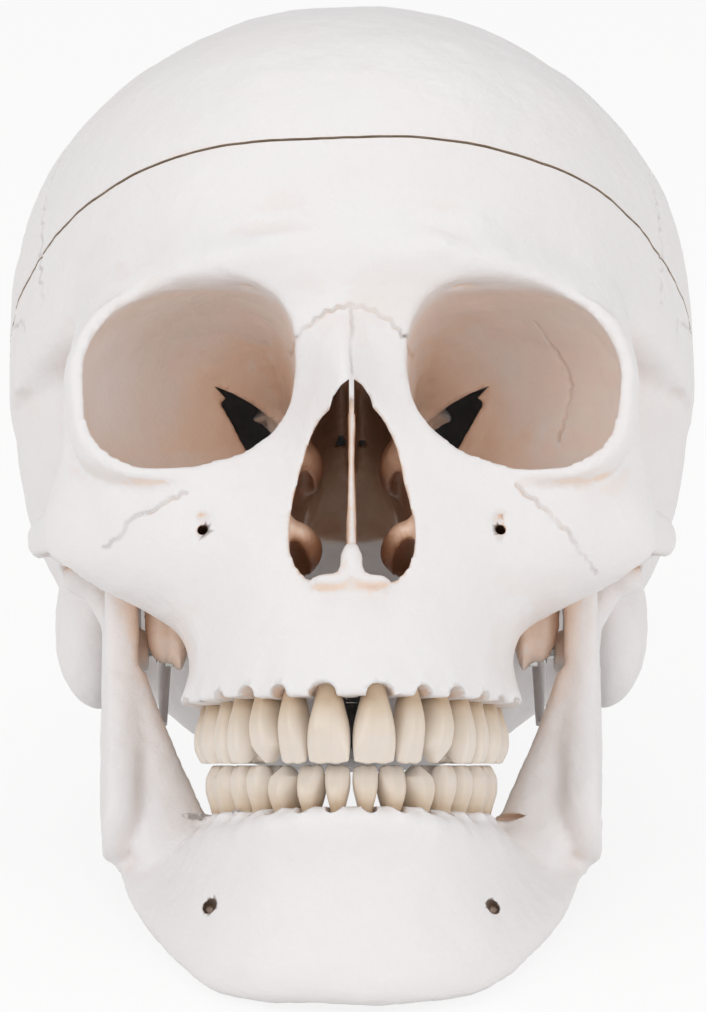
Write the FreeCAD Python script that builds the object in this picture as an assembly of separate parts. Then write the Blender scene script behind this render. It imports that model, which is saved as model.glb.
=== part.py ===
"""Anatomical skull model for teaching: a cast skull in three parts, at life size.

The cap lifts off the skull base on three pins and three pairs of magnets, and the lower jaw hangs
on two springs and swings about its condyles. Thirty-two separate ivory teeth stand in sockets.

Everything is first modelled upright, in millimetres: X across the head, Y towards the back, Z up.
Height 0 is the level of the eye sockets' lower rims and of the ear openings, and depth 0 is at the
ear openings. The last step leans the whole head back to the way it rests on a table, on its chin
and the back of its base, and puts the middle of its footprint at the origin.
"""
import FreeCAD
import Part
import math
import os

from FreeCAD import Matrix, Rotation, Vector

# Brain case
half_breadth = 68.5        # midline to the widest point
vault_height = 111.0       # ear level to the crown
front_reach = 90.0         # ear opening to the forehead
back_reach = 85.0          # ear opening to the back of the head
base_drop = 31.0           # ear level to the underside of the brain case
brow_level = 31.0          # where the upper shell of the brain case starts
case_wall = 4.0            # thickness of the cast shell

# Saw cut between cap and base
cut_height = 63.6          # on the forehead
cut_slope = 13.0           # degrees down towards the back
cut_gap = 0.3              # between the rims

# Locating pins and magnets in the rims
boss_radius = 4.5
boss_depth = 8.0
pin_radius = 1.2
pin_stand = 4.0            # stands out of the base's rim
pin_root = 5.0             # sunk in the base
pin_clearance = 0.25
magnet_radius = 2.5
magnet_thickness = 2.0
magnet_clearance = 0.1
magnet_recess = 0.1        # below the rim

# Face
face_half_breadth = 54.0   # outer edge of the eye socket's side rim
face_reach = 93.0          # ear opening to the front of the upper gum edge
face_drop = 48.0           # eye socket floor level to the gum edge
face_back = 42.0           # back of the face block, in front of the ears
face_joint_level = 24.0    # where the face casting meets the forehead
face_joint_place = 46.0    # where it meets the brain case, in front of the ears
socket_depth = 45.0        # eye socket, rim to tip
socket_half_width = 19.5
socket_half_height = 17.3
socket_spread = 30.5       # middle of the eye socket from the midline
socket_rim_place = 77.0    # middle of the rim in front of the ears
socket_wall = 2.5
nose_half_width = 11.9
nose_top = 12.3
nose_bottom = 26.4         # below the eye socket floor level
palate_half_width = 19.0
palate_length = 33.0
palate_rise = 14.0
foramen_radius = 1.3       # small nerve openings under the eyes and in the chin
foramen_depth = 9.0

# Cheek arches
arch_half_breadth = 62.9
arch_height = 11.0
arch_thickness = 5.0

# Underside of the brain case
ear_hole_radius = 4.2
ear_hole_end = 46.0        # inner end of the ear opening, from the midline
foramen_magnum_half_width = 15.0
foramen_magnum_half_length = 17.5
foramen_magnum_place = 25.0
plate_length = 38.0        # plates that hang behind the upper jaw
plate_half_thickness = 1.5
plate_half_depth = 5.5
styloid_length = 24.0
styloid_radius = 1.8
styloid_tip_radius = 0.8
styloid_seat = 5.0
styloid_clearance = 0.1
styloid_spread = 37.0
styloid_place = 4.0        # behind the ear opening
styloid_drop = 11.0        # mouth of its seat below ear level
styloid_lean = 22.0        # degrees forward from straight down

# Lower jaw
hinge_place = 12.0         # condyle centre in front of the ear opening
hinge_drop = 5.5
condyle_spread = 48.5
condyle_radius = 4.8
condyle_half_width = 9.0
condyle_clearance = 0.35
jaw_seat_wall = 4.0        # stock around the condyle's hollow
jaw_opening = 20.0         # degrees
jaw_reach = 79.0           # ear opening to the middle of the chin's wall
chin_drop = 103.5          # eye socket floor level to the lowest point of the chin
jaw_gum_drop = 67.5        # eye socket floor level to the lower gum edge in front
gum_overhang = 6.0         # gum edge in front of the middle of the chin's wall
jaw_angle_spread = 47.5
jaw_angle_drop = 66.0
jaw_wall = 11.5
ramus_thickness = 6.5
ramus_back = 7.0           # rear edge of the ramus in front of the ear opening
ramus_front = 42.0
ramus_rear_spread = 46.0
ramus_front_spread = 44.0
coronoid_drop = 3.5        # tip of the coronoid below ear level

# Teeth
upper_tooth_width = 8.4    # middle incisor, along the arch
upper_tooth_depth = 7.0
lower_tooth_width = 5.0
lower_tooth_depth = 5.8
tooth_gap = 0.3            # between neighbours
tooth_clearance = 0.1      # root in its socket
root_length = 7.0
upper_edge_drop = 60.0     # upper incisor edges below eye socket floor level
bite_slope = 12.5          # degrees, the biting plane rises towards the back
bite_gap = 0.35
gum_slope = 10.0           # degrees, both gum edges rise towards the back
upper_arch_half_width = 25.0
upper_arch_length = 45.0
upper_arch_inset = 3.6     # middle of the incisors behind the front of the upper gum edge
lower_arch_half_width = 23.2
lower_arch_length = 44.5
lower_arch_inset = 7.2     # middle of the incisors behind the front of the upper gum edge

# Jaw springs and their screws
spring_wire = 0.7
spring_radius = 2.4        # to the wire's middle
spring_turns = 5
spring_pitch = 1.2
spring_eye_clearance = 0.3
spring_spread = 37.6       # both hook points from the midline
spring_top_place = 22.0    # in front of the ear opening
spring_top_drop = 4.0
spring_foot_place = 26.0
spring_foot_drop = 23.5
screw_radius = 1.4
screw_clearance = 0.1
screw_head_radius = 3.0
screw_head_height = 1.8
screw_length = 6.0         # sunk in the casting
screw_stand = 3.0          # bare shank under the head, where the spring hooks on
screw_boss_radius = 4.0
screw_slot = 0.8

# Nose lining
septum_thickness = 1.8
concha_thickness = 1.6

# Shared working values
rest_lean = 30.2           # degrees that the head leans back on the table
overrun = 60.0             # cutters reach this far past the casting

SIDES = {"left": 1, "right": -1}

# Each vault row: height share of the crown above the brow level, then shares of the front
# reach, back reach and half breadth, the place of the widest point as a share of the back
# reach, and the pinch share at the temples.
VAULT_ROW_SHARES = (
    (0.000, 0.985, 1.000, 0.990, 0.15, 0.02),
    (0.170, 0.990, 1.000, 1.000, 0.15, 0.04),
    (0.350, 0.965, 0.985, 0.985, 0.15, 0.03),
    (0.550, 0.880, 0.920, 0.905, 0.13, 0.01),
    (0.730, 0.725, 0.800, 0.725, 0.11, 0.00),
    (0.870, 0.510, 0.630, 0.505, 0.09, 0.00),
    (0.955, 0.290, 0.420, 0.290, 0.07, 0.00),
)

# Each base row: height as a share of the brow level when above the ears and of the base drop
# below them, then the same shares as above without the pinch.
BASE_ROW_SHARES = (
    (1.00, 0.570, 0.995, 0.985, 0.16),
    (0.60, 0.540, 0.985, 0.960, 0.16),
    (0.30, 0.480, 0.960, 0.920, 0.17),
    (0.06, 0.330, 0.920, 0.865, 0.19),
    (-0.20, 0.130, 0.860, 0.780, 0.24),
    (-0.52, -0.010, 0.780, 0.650, 0.29),
    (-0.84, -0.080, 0.680, 0.470, 0.34),
    (-1.00, -0.130, 0.590, 0.320, 0.37),
)
FRONT_SQUARENESS_SHARE = 0.82    # below 1 fills the corners of each row's outline
BACK_SQUARENESS_SHARE = 0.90

# Rounded masses on the underside, as shares of the half breadth, back reach and base drop:
# centre, then half sizes. Mastoids, neck condyles, the wings behind the face and their spines.
SIDE_MASS_SHARES = (
    (0.735, 0.165, -0.26, 0.130, 0.140, 0.57),
    (0.175, 0.150, -0.93, 0.075, 0.105, 0.16),
    (0.380, -0.350, 0.13, 0.220, 0.190, 0.26),
    (0.533, -0.388, -0.41, 0.060, 0.041, 0.49),
    (0.486, -0.388, -0.54, 0.032, 0.041, 0.42),
)
EAR_MASS_SHARES = (0.640, 0.010, 0.02, 0.160, 0.100, 0.30)
MIDDLE_MASS_SHARES = (0.0, -0.350, 0.20, 0.260, 0.220, 0.30)

# Each face level: height (a share of the joint level above 0, of the face drop below), then
# pairs from the midline to the side and back: shares of the half breadth and of the reach.
FACE_LEVEL_SHARES = (
    (1.85, ((0, .930), (.25, .925), (.50, .880), (.70, .760), (.80, .640), (.78, .560), (.72, .500))),
    (1.45, ((0, .980), (.26, .978), (.60, .935), (.85, .810), (.985, .715), (.97, .620), (.86, .520))),
    (1.15, ((0, .955), (.22, .930), (.58, .888), (.90, .775), (1.01, .700), (1.00, .620), (.90, .510))),
    (0.60, ((0, 1.035), (.17, .935), (.56, .845), (.91, .735), (1.01, .690), (1.00, .600), (.90, .500))),
    (0.00, ((0, .990), (.22, .925), (.58, .848), (.93, .740), (1.05, .665), (1.05, .580), (.92, .470))),
    (-.28, ((0, .975), (.26, .935), (.58, .832), (.92, .715), (1.05, .630), (1.05, .560), (.92, .460))),
    (-.50, ((0, .975), (.25, .940), (.49, .832), (.62, .715), (.66, .620), (.65, .540), (.60, .460))),
    (-.75, ((0, .990), (.25, .945), (.45, .840), (.55, .690), (.58, .600), (.57, .520), (.53, .455))),
    (-1.02, ((0, 1.00), (.24, .960), (.43, .858), (.54, .680), (.57, .590), (.57, .510), (.54, .440))),
)

# Hollow behind the cheek bone, in plan: shares of the face's half breadth and reach, at its
# lower and its upper end.
CHEEK_HOLLOW_LOW_SHARES = ((.96, .620), (.64, .540), (.60, .385), (1.6, .385), (1.6, .555))
CHEEK_HOLLOW_HIGH_SHARES = ((1.0, .635), (.70, .470), (.66, .385), (1.6, .385), (1.6, .575))

# Eye socket sections from front to tip: share of the socket depth behind the rim, shares of
# the half width and half height, inward shift of the middle as a share of the spread, and
# upward shift as a share of the half height.
SOCKET_SECTION_SHARES = (
    (-0.60, 1.10, 1.08, 0.00, 0.00),
    (-0.05, 1.03, 1.00, 0.00, 0.00),
    (0.33, 1.00, 1.00, 0.01, 0.02),
    (0.62, 0.70, 0.80, 0.17, 0.06),
    (0.86, 0.34, 0.46, 0.39, 0.10),
    (1.00, 0.14, 0.20, 0.52, 0.10),
)

# Slit at the back of the eye socket, seen from the front: shares of the socket's spread and of
# twice its half height.
FISSURE_SHARES = ((.935, .80), (.47, .52), (.60, .345))

# Nose opening: shares of the half width, and of the top above 0 or the bottom below 0.
NOSE_OUTLINE_SHARES = ((0, 1.0), (.30, .88), (.59, .44), (.87, -.25), (1.0, -.71), (.80, -.93),
                       (.48, -1.0), (.17, -.92), (0, -.86))

# Nose passage from front to back: depth as a share of the face reach, then shares of the half
# width, of the top and of the bottom.
NOSE_SECTION_SHARES = (
    (1.15, 1.00, 1.00, 1.00),
    (0.90, 1.00, 1.00, 1.00),
    (0.78, 1.10, 1.45, 1.06),
    (0.58, 1.06, 1.60, 1.10),
    (0.34, 0.95, 0.20, 1.08),
)

# Septum in side view: shares of the face reach, and of the nose top or bottom.
SEPTUM_SHARES = ((.965, -.88), (.925, -.40), (.935, .20), (.985, .75), (.80, 1.9), (.44, 1.2),
                 (.39, .0), (.39, -1.3), (.96, -1.3))

# Middle and lower concha: centre depth share of the face reach, centre height share of the nose
# bottom, half sizes as shares of the nose half width, face reach and nose bottom.
CONCHA_SHARES = {"middle": (.70, .10, .50, .16, .20), "lower": (.72, -.52, .46, .17, .17)}

# Cheek arch stations from the cheek bone back: shares of the arch half breadth, of the face
# reach in front of the ears, and of the arch height for the middle and for the height there.
ARCH_STATION_SHARES = (
    (.86, .640, -.75, 1.00),
    (.955, .500, -.45, .85),
    (1.0, .340, -.18, .70),
    (1.0, .180, .10, .66),
    (.955, .095, .30, .66),
    (.86, .045, .42, .70),
)

# Plates behind the upper jaw: spread from the midline and depth in front of the ears as shares
# of the palate's half width and length, from top to bottom.
PLATE_STATION_SHARES = (
    ((.70, 1.15), (.66, 1.14), (.68, 1.12)),
    ((.74, 1.00), (.95, .96), (1.10, .98)),
)

# Jaw body stations from the chin back: spread as a share of the angle's spread, shares of the
# jaw reach, of the way from the front gum edge up to ear level, of the way from the chin's
# lowest point to the angle's drop, of the wall, and of the gum's overhang.
JAW_STATION_SHARES = (
    (0.00, 1.000, 0.000, 0.00, 1.00, 1.05),
    (0.25, 0.970, 0.000, 0.02, 0.95, 0.60),
    (0.49, 0.860, 0.030, 0.11, 0.98, -0.85),
    (0.63, 0.700, 0.070, 0.32, 1.04, -1.45),
    (0.76, 0.530, 0.100, 0.58, 1.00, -2.10),
    (0.83, 0.440, 0.125, 0.76, 0.84, -1.60),
    (0.90, 0.350, 0.150, 0.93, 0.68, -1.00),
)

# Section through the jaw body: shares of the wall outwards and of the height from the bottom.
JAW_SECTION_SHARES = ((0, 0), (.32, .03), (.48, .16), (.42, .42), (.42, .74), (.42, .95), (0, 1.0),
                      (-.42, .95), (-.45, .74), (-.46, .42), (-.46, .16), (-.30, .03))

# Ramus outline seen from the side, from the rear edge at the condyle down, forward and up:
# depth between the rear edge (0) and the front edge (1), and height between the jaw angle (0)
# and the coronoid's tip (1).
RAMUS_OUTLINE_SHARES = ((.02, .90), (-.02, .62), (.02, .32), (.10, .14), (.24, .06), (.52, .00),
                        (.82, .00), (1.00, .10), (1.02, .26), (.96, .48), (.94, .76), (.88, 1.0),
                        (.74, .93), (.60, .80), (.46, .76), (.34, .82), (.22, .95), (.12, 1.0))
RAMUS_EDGE_SHARE = 0.94          # the outline draws in to this on both faces

# Crest from behind the last molar up the inner face of the ramus: shares of the angle's spread,
# of the ramus's front and of the angle's drop for its middle, then half sizes as shares of the
# ramus's thickness.
CREST_STATION_SHARES = (
    (.690, .857, 1.06, 1.20, .80),
    (.750, .869, .88, 1.10, .62),
    (.815, .881, .70, .80, .50),
    (.875, .881, .46, .35, .34),
)

# Neck below each condyle: shares of the condyle's spread, of the hinge's place and of the hinge
# drop for the middle, then shares of the condyle's half width and radius.
NECK_STATION_SHARES = (
    (.905, 1.20, 4.6, .36, 1.60),
    (.935, 1.10, 2.7, .48, 1.10),
    (.985, 1.00, 1.3, .78, .86),
)

# Teeth from the middle back: name, shares of the middle incisor's width and depth, and form.
UPPER_TEETH_SHARES = (
    ("central_incisor", 1.00, 1.00, "blade"),
    ("lateral_incisor", 0.77, 0.89, "blade"),
    ("canine", 0.88, 1.11, "point"),
    ("first_premolar", 0.81, 1.26, "cusps"),
    ("second_premolar", 0.79, 1.26, "cusps"),
    ("first_molar", 1.19, 1.51, "cusps"),
    ("second_molar", 1.12, 1.49, "cusps"),
    ("third_molar", 1.02, 1.40, "cusps"),
)
LOWER_TEETH_SHARES = (
    ("central_incisor", 1.00, 1.00, "blade"),
    ("lateral_incisor", 1.12, 1.05, "blade"),
    ("canine", 1.32, 1.28, "point"),
    ("first_premolar", 1.36, 1.31, "cusps"),
    ("second_premolar", 1.38, 1.38, "cusps"),
    ("first_molar", 2.16, 1.69, "cusps"),
    ("second_molar", 2.04, 1.69, "cusps"),
    ("third_molar", 1.92, 1.62, "cusps"),
)

# Sections of each tooth form: height as a share of the root length below the gum or of the bare
# height above it, and shares of the tooth's width and depth.
TOOTH_FORM_SHARES = {
    "blade": ((-1.0, .42, .50), (0, .66, .82), (.38, .90, 1.00), (.76, 1.00, .64), (1.0, .95, .24)),
    "point": ((-1.0, .42, .50), (0, .68, .86), (.38, .90, 1.00), (.70, 1.00, .80), (1.0, .26, .22)),
    "cusps": ((-1.0, .46, .50), (0, .78, .80), (.35, .94, .96), (.70, 1.00, 1.00), (1.0, .82, .78)),
}
TOOTH_SQUARENESS_SHARE = 0.78
SOCKET_MOUTH_SHARE = 0.3         # of the bare height: the sockets' cutters reach this far out
EYE_DROOP_SHARE = 0.12
ARCH_STEPS = 600

# Places around the rim, in turns clockwise from the forehead seen from above
PIN_TURN_SHARES = (0.0, 0.36, 0.64)
MAGNET_TURN_SHARES = (0.18, 0.5, 0.82)
BOSS_INSET_SHARE = 0.35          # of the boss radius, from the inner wall to the boss's middle


def closed_curve(points):
    """A smooth closed wire through the points."""
    curve = Part.BSplineCurve()
    curve.interpolate(Points=points, PeriodicFlag=True)
    return Part.Wire([curve.toShape()])


def polygon(points):
    """A closed wire of straight edges."""
    return Part.makePolygon(points + [points[0]])


def mirrored(shape):
    """The same piece on the other side of the head."""
    return shape.mirror(Vector(0, 0, 0), Vector(1, 0, 0))


def both_sides(shape):
    """The piece together with its mirror image."""
    return [shape, mirrored(shape)]


def on_side(shape, side):
    """A piece modelled on the left, put on the named side."""
    return shape if side == "left" else mirrored(shape)


def ellipsoid(centre, half_x, half_y, half_z):
    """An ellipsoid about a centre, from its three half sizes."""
    scale = Matrix()
    scale.scale(half_x, half_y, half_z)
    ball = Part.makeSphere(1).transformGeometry(scale)
    ball.translate(centre)
    return ball


def largest_solid(shape):
    """The main solid of a cut piece."""
    return max(shape.Solids, key=lambda solid: solid.Volume)


def case_ring(height, front, back, half, widest, pinch):
    """One level outline of the brain case."""
    steps = 20
    points = []
    for i in range(steps):
        turn = 2 * math.pi * i / steps
        ahead, aside = math.cos(turn), math.sin(turn)
        square = FRONT_SQUARENESS_SHARE if ahead > 0 else BACK_SQUARENESS_SHARE
        reach = abs(ahead) ** square
        depth = widest - (widest + front) * reach if ahead > 0 else widest + (back - widest) * reach
        narrow = 1 - pinch * 4 * (ahead * aside) ** 2 * (ahead > 0)
        across = math.copysign(half * abs(aside) ** square * narrow, aside)
        points.append(Vector(across, depth, height))
    return closed_curve(points)


def vault(inset):
    """The upper solid of the brain case, drawn in by the inset all round."""
    rings = []
    for height, front, back, half, widest, pinch in VAULT_ROW_SHARES:
        level = brow_level + (vault_height - brow_level) * height
        level += inset if height == 0 else -inset * height
        rings.append(case_ring(level, front_reach * front - inset, back_reach * back - inset,
                               half_breadth * half - inset, back_reach * widest, pinch))
    crown = Part.Vertex(0, back_reach * VAULT_ROW_SHARES[-1][4], vault_height - inset)
    return Part.makeLoft(rings + [crown], True, False)


def case_base(inset):
    """The lower solid of the brain case, drawn in by the inset all round."""
    rings = []
    for height, front, back, half, widest in BASE_ROW_SHARES:
        level = brow_level * height if height > 0 else base_drop * height
        level += inset * (height < 0) * abs(height) + inset * (height == BASE_ROW_SHARES[0][0])
        rings.append(case_ring(level, front_reach * front - inset, back_reach * back - inset,
                               half_breadth * half - inset, back_reach * widest, 0))
    return Part.makeLoft(rings, True, False)


def side_mass(shares):
    """A rounded mass on the underside, placed and sized by shares of the brain case."""
    across, depth, height, half_x, half_y, half_z = shares
    centre = Vector(half_breadth * across, back_reach * depth, base_drop * height)
    return ellipsoid(centre, half_breadth * half_x, back_reach * half_y, base_drop * half_z)


def cut_point():
    """The middle of the saw cut's front edge."""
    return Vector(0, -front_reach, cut_height)


def cut_normal():
    """The direction in which the cap lifts off."""
    slope = math.radians(cut_slope)
    return Vector(0, math.sin(slope), math.cos(slope))


def beyond_cut(offset, upwards):
    """Everything above or below the saw cut, from an offset along its normal."""
    size = 2 * (front_reach + back_reach + overrun)
    block = Part.makeBox(size, size, size)
    block.translate(Vector(-size / 2, -size / 2, 0 if upwards else -size))
    block.rotate(Vector(0, 0, 0), Vector(1, 0, 0), -cut_slope)
    block.translate(cut_point() + cut_normal() * offset)
    return block


def rim_place(turn_share, inner):
    """The middle of a boss in the plane of the saw cut, just inside the inner wall."""
    slope = math.radians(cut_slope)
    turn = 2 * math.pi * turn_share
    back = Vector(0, math.cos(slope), -math.sin(slope))
    ahead = Vector(0, 0, 0) - back
    middle = cut_point() + back * (front_reach / math.cos(slope))
    direction = ahead * math.cos(turn) + Vector(1, 0, 0) * math.sin(turn)
    ray = Part.makeLine(middle, middle + direction * (front_reach + back_reach))
    inside = ray.common(inner)
    return middle + direction * (inside.Length - boss_radius * BOSS_INSET_SHARE)


def rod_along(start, direction, length, radius):
    """A round rod from a point."""
    return Part.makeCylinder(radius, length, start, direction)


def rim_bosses(places, upwards):
    """The bosses that take the pins and magnets, on one side of the saw cut."""
    direction = cut_normal() * (1 if upwards else -1)
    start = cut_normal() * (-boss_radius if upwards else boss_radius)
    return [rod_along(place + start, direction, boss_depth + boss_radius, boss_radius)
            for place in places]


def locating_pins(places):
    """Steel pins that stand in the base's rim."""
    return [rod_along(place - cut_normal() * pin_root, cut_normal(), pin_root + pin_stand, pin_radius)
            for place in places]


def pin_holes(places):
    """Holes for the pins in the cap, open at the saw cut."""
    depth = pin_stand + pin_clearance
    return [rod_along(place, cut_normal(), depth, pin_radius + pin_clearance) for place in places]


def magnet_discs(places, upwards):
    """Magnets just below one rim."""
    sign = 1 if upwards else -1
    level = cut_gap * (sign > 0) + magnet_recess
    return [rod_along(place + cut_normal() * level * sign, cut_normal() * sign, magnet_thickness,
                      magnet_radius) for place in places]


def magnet_pockets(places, upwards):
    """Pockets for the magnets, as deep as a magnet and its recess."""
    sign = 1 if upwards else -1
    start = cut_normal() * cut_gap * (sign > 0)
    depth = magnet_recess + magnet_thickness
    radius = magnet_radius + magnet_clearance
    return [rod_along(place + start, cut_normal() * sign, depth, radius) for place in places]


def face_ring(height, pairs):
    """One level outline of the face block."""
    side = [Vector(face_half_breadth * across, -face_reach * ahead, height) for across, ahead in pairs]
    other = [Vector(-point.x, point.y, point.z) for point in reversed(side[1:])]
    return closed_curve(side + [Vector(0, -face_back, height)] + other)


def face_block():
    """The solid mass of the face, before its hollows."""
    rings = []
    for height, pairs in FACE_LEVEL_SHARES:
        level = face_joint_level * height if height > 0 else face_drop * height
        rings.append(face_ring(level, pairs))
    block = Part.makeLoft(rings, True, False)
    size = face_reach + overrun
    under = Part.makeBox(2 * size, 2 * size, overrun)
    under.translate(Vector(-size, 0, -overrun))
    under.rotate(Vector(0, 0, 0), Vector(1, 0, 0), gum_slope)
    under.translate(Vector(0, -face_reach, -face_drop))
    return block.cut(under)


def cheek_hollow():
    """The space behind one cheek bone, open at the side and below."""
    rings = []
    for shares, level in ((CHEEK_HOLLOW_LOW_SHARES, -face_drop - overrun),
                          (CHEEK_HOLLOW_HIGH_SHARES, 2 * face_joint_level)):
        rings.append(polygon([Vector(face_half_breadth * across, -face_reach * ahead, level)
                              for across, ahead in shares]))
    return Part.makeLoft(rings, True, True)


def eye_socket(wall):
    """One eye socket, grown by a wall."""
    rings = []
    steps = 16
    last = len(SOCKET_SECTION_SHARES) - 1
    for i, (depth, wide, high, inward, upward) in enumerate(SOCKET_SECTION_SHARES):
        if wall and i == 0:
            continue
        across = socket_spread * (1 - inward)
        middle = socket_half_height * (1 + upward)
        place = -socket_rim_place + socket_depth * depth + wall * (i == last)
        points = []
        for k in range(steps):
            turn = 2 * math.pi * k / steps
            ahead, aside = math.cos(turn), math.sin(turn)
            reach = math.copysign(abs(ahead) ** TOOTH_SQUARENESS_SHARE, ahead)
            rise = math.copysign(abs(aside) ** TOOTH_SQUARENESS_SHARE, aside)
            droop = socket_half_height * EYE_DROOP_SHARE * wide * reach
            points.append(Vector(across + (socket_half_width * wide + wall) * reach, place,
                                 middle + (socket_half_height * high + wall) * rise - droop))
        rings.append(closed_curve(points))
    return Part.makeLoft(rings, True, False)


def fissure():
    """The dark slit at the back of an eye socket."""
    start = -socket_rim_place + socket_depth * 0.55
    points = [Vector(socket_spread * across, start, 2 * socket_half_height * height)
              for across, height in FISSURE_SHARES]
    face = Part.Face(polygon(points))
    return face.extrude(Vector(0, socket_depth * 0.9, 0))


def nose_ring(depth, wide, top, bottom):
    """One section of the nose passage."""
    side = []
    for across, height in NOSE_OUTLINE_SHARES:
        level = nose_top * top * height if height > 0 else nose_bottom * bottom * height
        side.append(Vector(nose_half_width * wide * across, -face_reach * depth, level))
    other = [Vector(-point.x, point.y, point.z) for point in reversed(side[1:-1])]
    return closed_curve(side + other)


def nose_passage():
    """The hollow of the nose, from its pear-shaped opening to the back of the palate."""
    return Part.makeLoft([nose_ring(*row) for row in NOSE_SECTION_SHARES], True, False)


def palate():
    """The hollow of the roof of the mouth."""
    rise = palate_rise
    centre = Vector(0, -face_reach + upper_arch_inset * 2 + palate_length, -face_drop)
    return ellipsoid(centre, palate_half_width, palate_length, rise)


def face_foramen():
    """The nerve opening under one eye."""
    start = Vector(socket_spread * 0.92, -face_reach * 0.93, -face_drop * 0.22)
    return rod_along(start, Vector(0, 1, 0), face_reach * 0.15 + foramen_depth, foramen_radius)


def condyle(clearance):
    """The head of the jaw's hinge, or its hollow in the base."""
    centre = Vector(condyle_spread, -hinge_place, -hinge_drop)
    radius = condyle_radius + clearance
    return ellipsoid(centre, condyle_half_width + clearance, radius, radius)


def jaw_seat():
    """The stock on the underside that holds the condyle's hollow."""
    centre = Vector(condyle_spread, -hinge_place, -hinge_drop + jaw_seat_wall)
    stock = ellipsoid(centre, condyle_half_width * 1.05, condyle_radius + 2 * jaw_seat_wall,
                      condyle_radius + jaw_seat_wall)
    size = 2 * overrun
    under = Part.makeBox(size, size, overrun)
    under.translate(Vector(-size / 2 + condyle_spread, -size / 2 - hinge_place,
                           -overrun - hinge_drop + condyle_radius * 0.35))
    return stock.cut(under)


def hanging_plate(stations):
    """One of the thin plates behind the upper jaw."""
    rings = []
    for i, (across, ahead) in enumerate(stations):
        level = face_joint_level * 0.3 - plate_length * 1.2 * i / (len(stations) - 1)
        slim = 1 - 0.35 * i / (len(stations) - 1)
        points = []
        for k in range(8):
            turn = 2 * math.pi * k / 8
            points.append(Vector(palate_half_width * across + plate_half_thickness * math.cos(turn),
                                 -palate_length * ahead + plate_half_depth * slim * math.sin(turn),
                                 level))
        rings.append(closed_curve(points))
    return Part.makeLoft(rings, True, False)


def styloid_mouth():
    """Where the styloid process leaves the base."""
    return Vector(styloid_spread, styloid_place, -styloid_drop)


def styloid_direction():
    """Down and forward."""
    lean = math.radians(styloid_lean)
    return Vector(0, -math.sin(lean), -math.cos(lean))


def styloid_process():
    """A thin peg that tapers to its tip."""
    seat = rod_along(styloid_mouth() - styloid_direction() * styloid_seat, styloid_direction(),
                     styloid_seat, styloid_radius)
    peg = Part.makeCone(styloid_radius, styloid_tip_radius, styloid_length, styloid_mouth(),
                        styloid_direction())
    return seat.fuse(peg).removeSplitter()


def styloid_hole():
    """The seat of the styloid process in the base, open downwards."""
    return rod_along(styloid_mouth() - styloid_direction() * styloid_seat, styloid_direction(),
                     styloid_seat * 2, styloid_radius + styloid_clearance)


def styloid_boss():
    """A sheath of stock around the styloid process's seat."""
    centre = styloid_mouth() - styloid_direction() * styloid_seat * 0.9
    return ellipsoid(centre, styloid_radius * 2.6, styloid_radius * 3.2, styloid_seat * 1.25)


def foramen_magnum():
    """The large opening on the underside."""
    opening = ellipsoid(Vector(0, foramen_magnum_place, -base_drop), foramen_magnum_half_width,
                        foramen_magnum_half_length, base_drop)
    level = Part.Plane(Vector(0, 0, -base_drop), Vector(0, 0, 1))
    section = opening.slice(level.Axis, -base_drop)[0]
    disc = Part.Face(section)
    disc.translate(Vector(0, 0, -case_wall * 2))
    return disc.extrude(Vector(0, 0, case_wall * 5))


def spring_top():
    """Where the spring hooks on below the base."""
    return Vector(spring_spread, -spring_top_place, -spring_top_drop)


def spring_foot():
    """Where the spring hooks on inside the jaw."""
    return Vector(spring_spread, -spring_foot_place, -spring_foot_drop)


def hook_screw(hook, outward):
    """A slotted screw whose bare shank passes through the hook point."""
    out = Vector(outward, 0, 0)
    seat = hook - out * (screw_stand / 2)
    shank = rod_along(seat - out * screw_length, out, screw_length + screw_stand, screw_radius)
    head = rod_along(seat + out * screw_stand, out, screw_head_height, screw_head_radius)
    slot = Part.makeBox(screw_slot, screw_slot, 3 * screw_head_radius)
    slot.translate(seat + out * (screw_stand + screw_head_height)
                   - Vector(screw_slot, screw_slot, 3 * screw_head_radius) / 2)
    return shank.fuse(head).cut(slot)


def screw_hole(hook, outward):
    """The hole that one screw is driven into."""
    out = Vector(outward, 0, 0)
    seat = hook - out * (screw_stand / 2)
    return rod_along(seat - out * screw_length, out, screw_length + screw_stand,
                     screw_radius + screw_clearance)


def screw_boss(hook, outward, reach):
    """A boss that carries one screw, reaching back into the casting."""
    out = Vector(outward, 0, 0)
    seat = hook - out * (screw_stand / 2)
    return rod_along(seat - out * reach, out, reach, screw_boss_radius)


def tooth_ring(place, outward, level, rise, half_width, half_depth):
    """One section of a tooth, rising towards the back."""
    along = Vector(-outward.y, outward.x, 0)
    points = []
    for k in range(12):
        turn = 2 * math.pi * k / 12
        wide = math.copysign(abs(math.cos(turn)) ** TOOTH_SQUARENESS_SHARE, math.cos(turn))
        deep = math.copysign(abs(math.sin(turn)) ** TOOTH_SQUARENESS_SHARE, math.sin(turn))
        offset = along * (half_width * wide) + outward * (half_depth * deep)
        points.append(place + offset + Vector(0, 0, level + offset.y * rise))
    return closed_curve(points)


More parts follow.
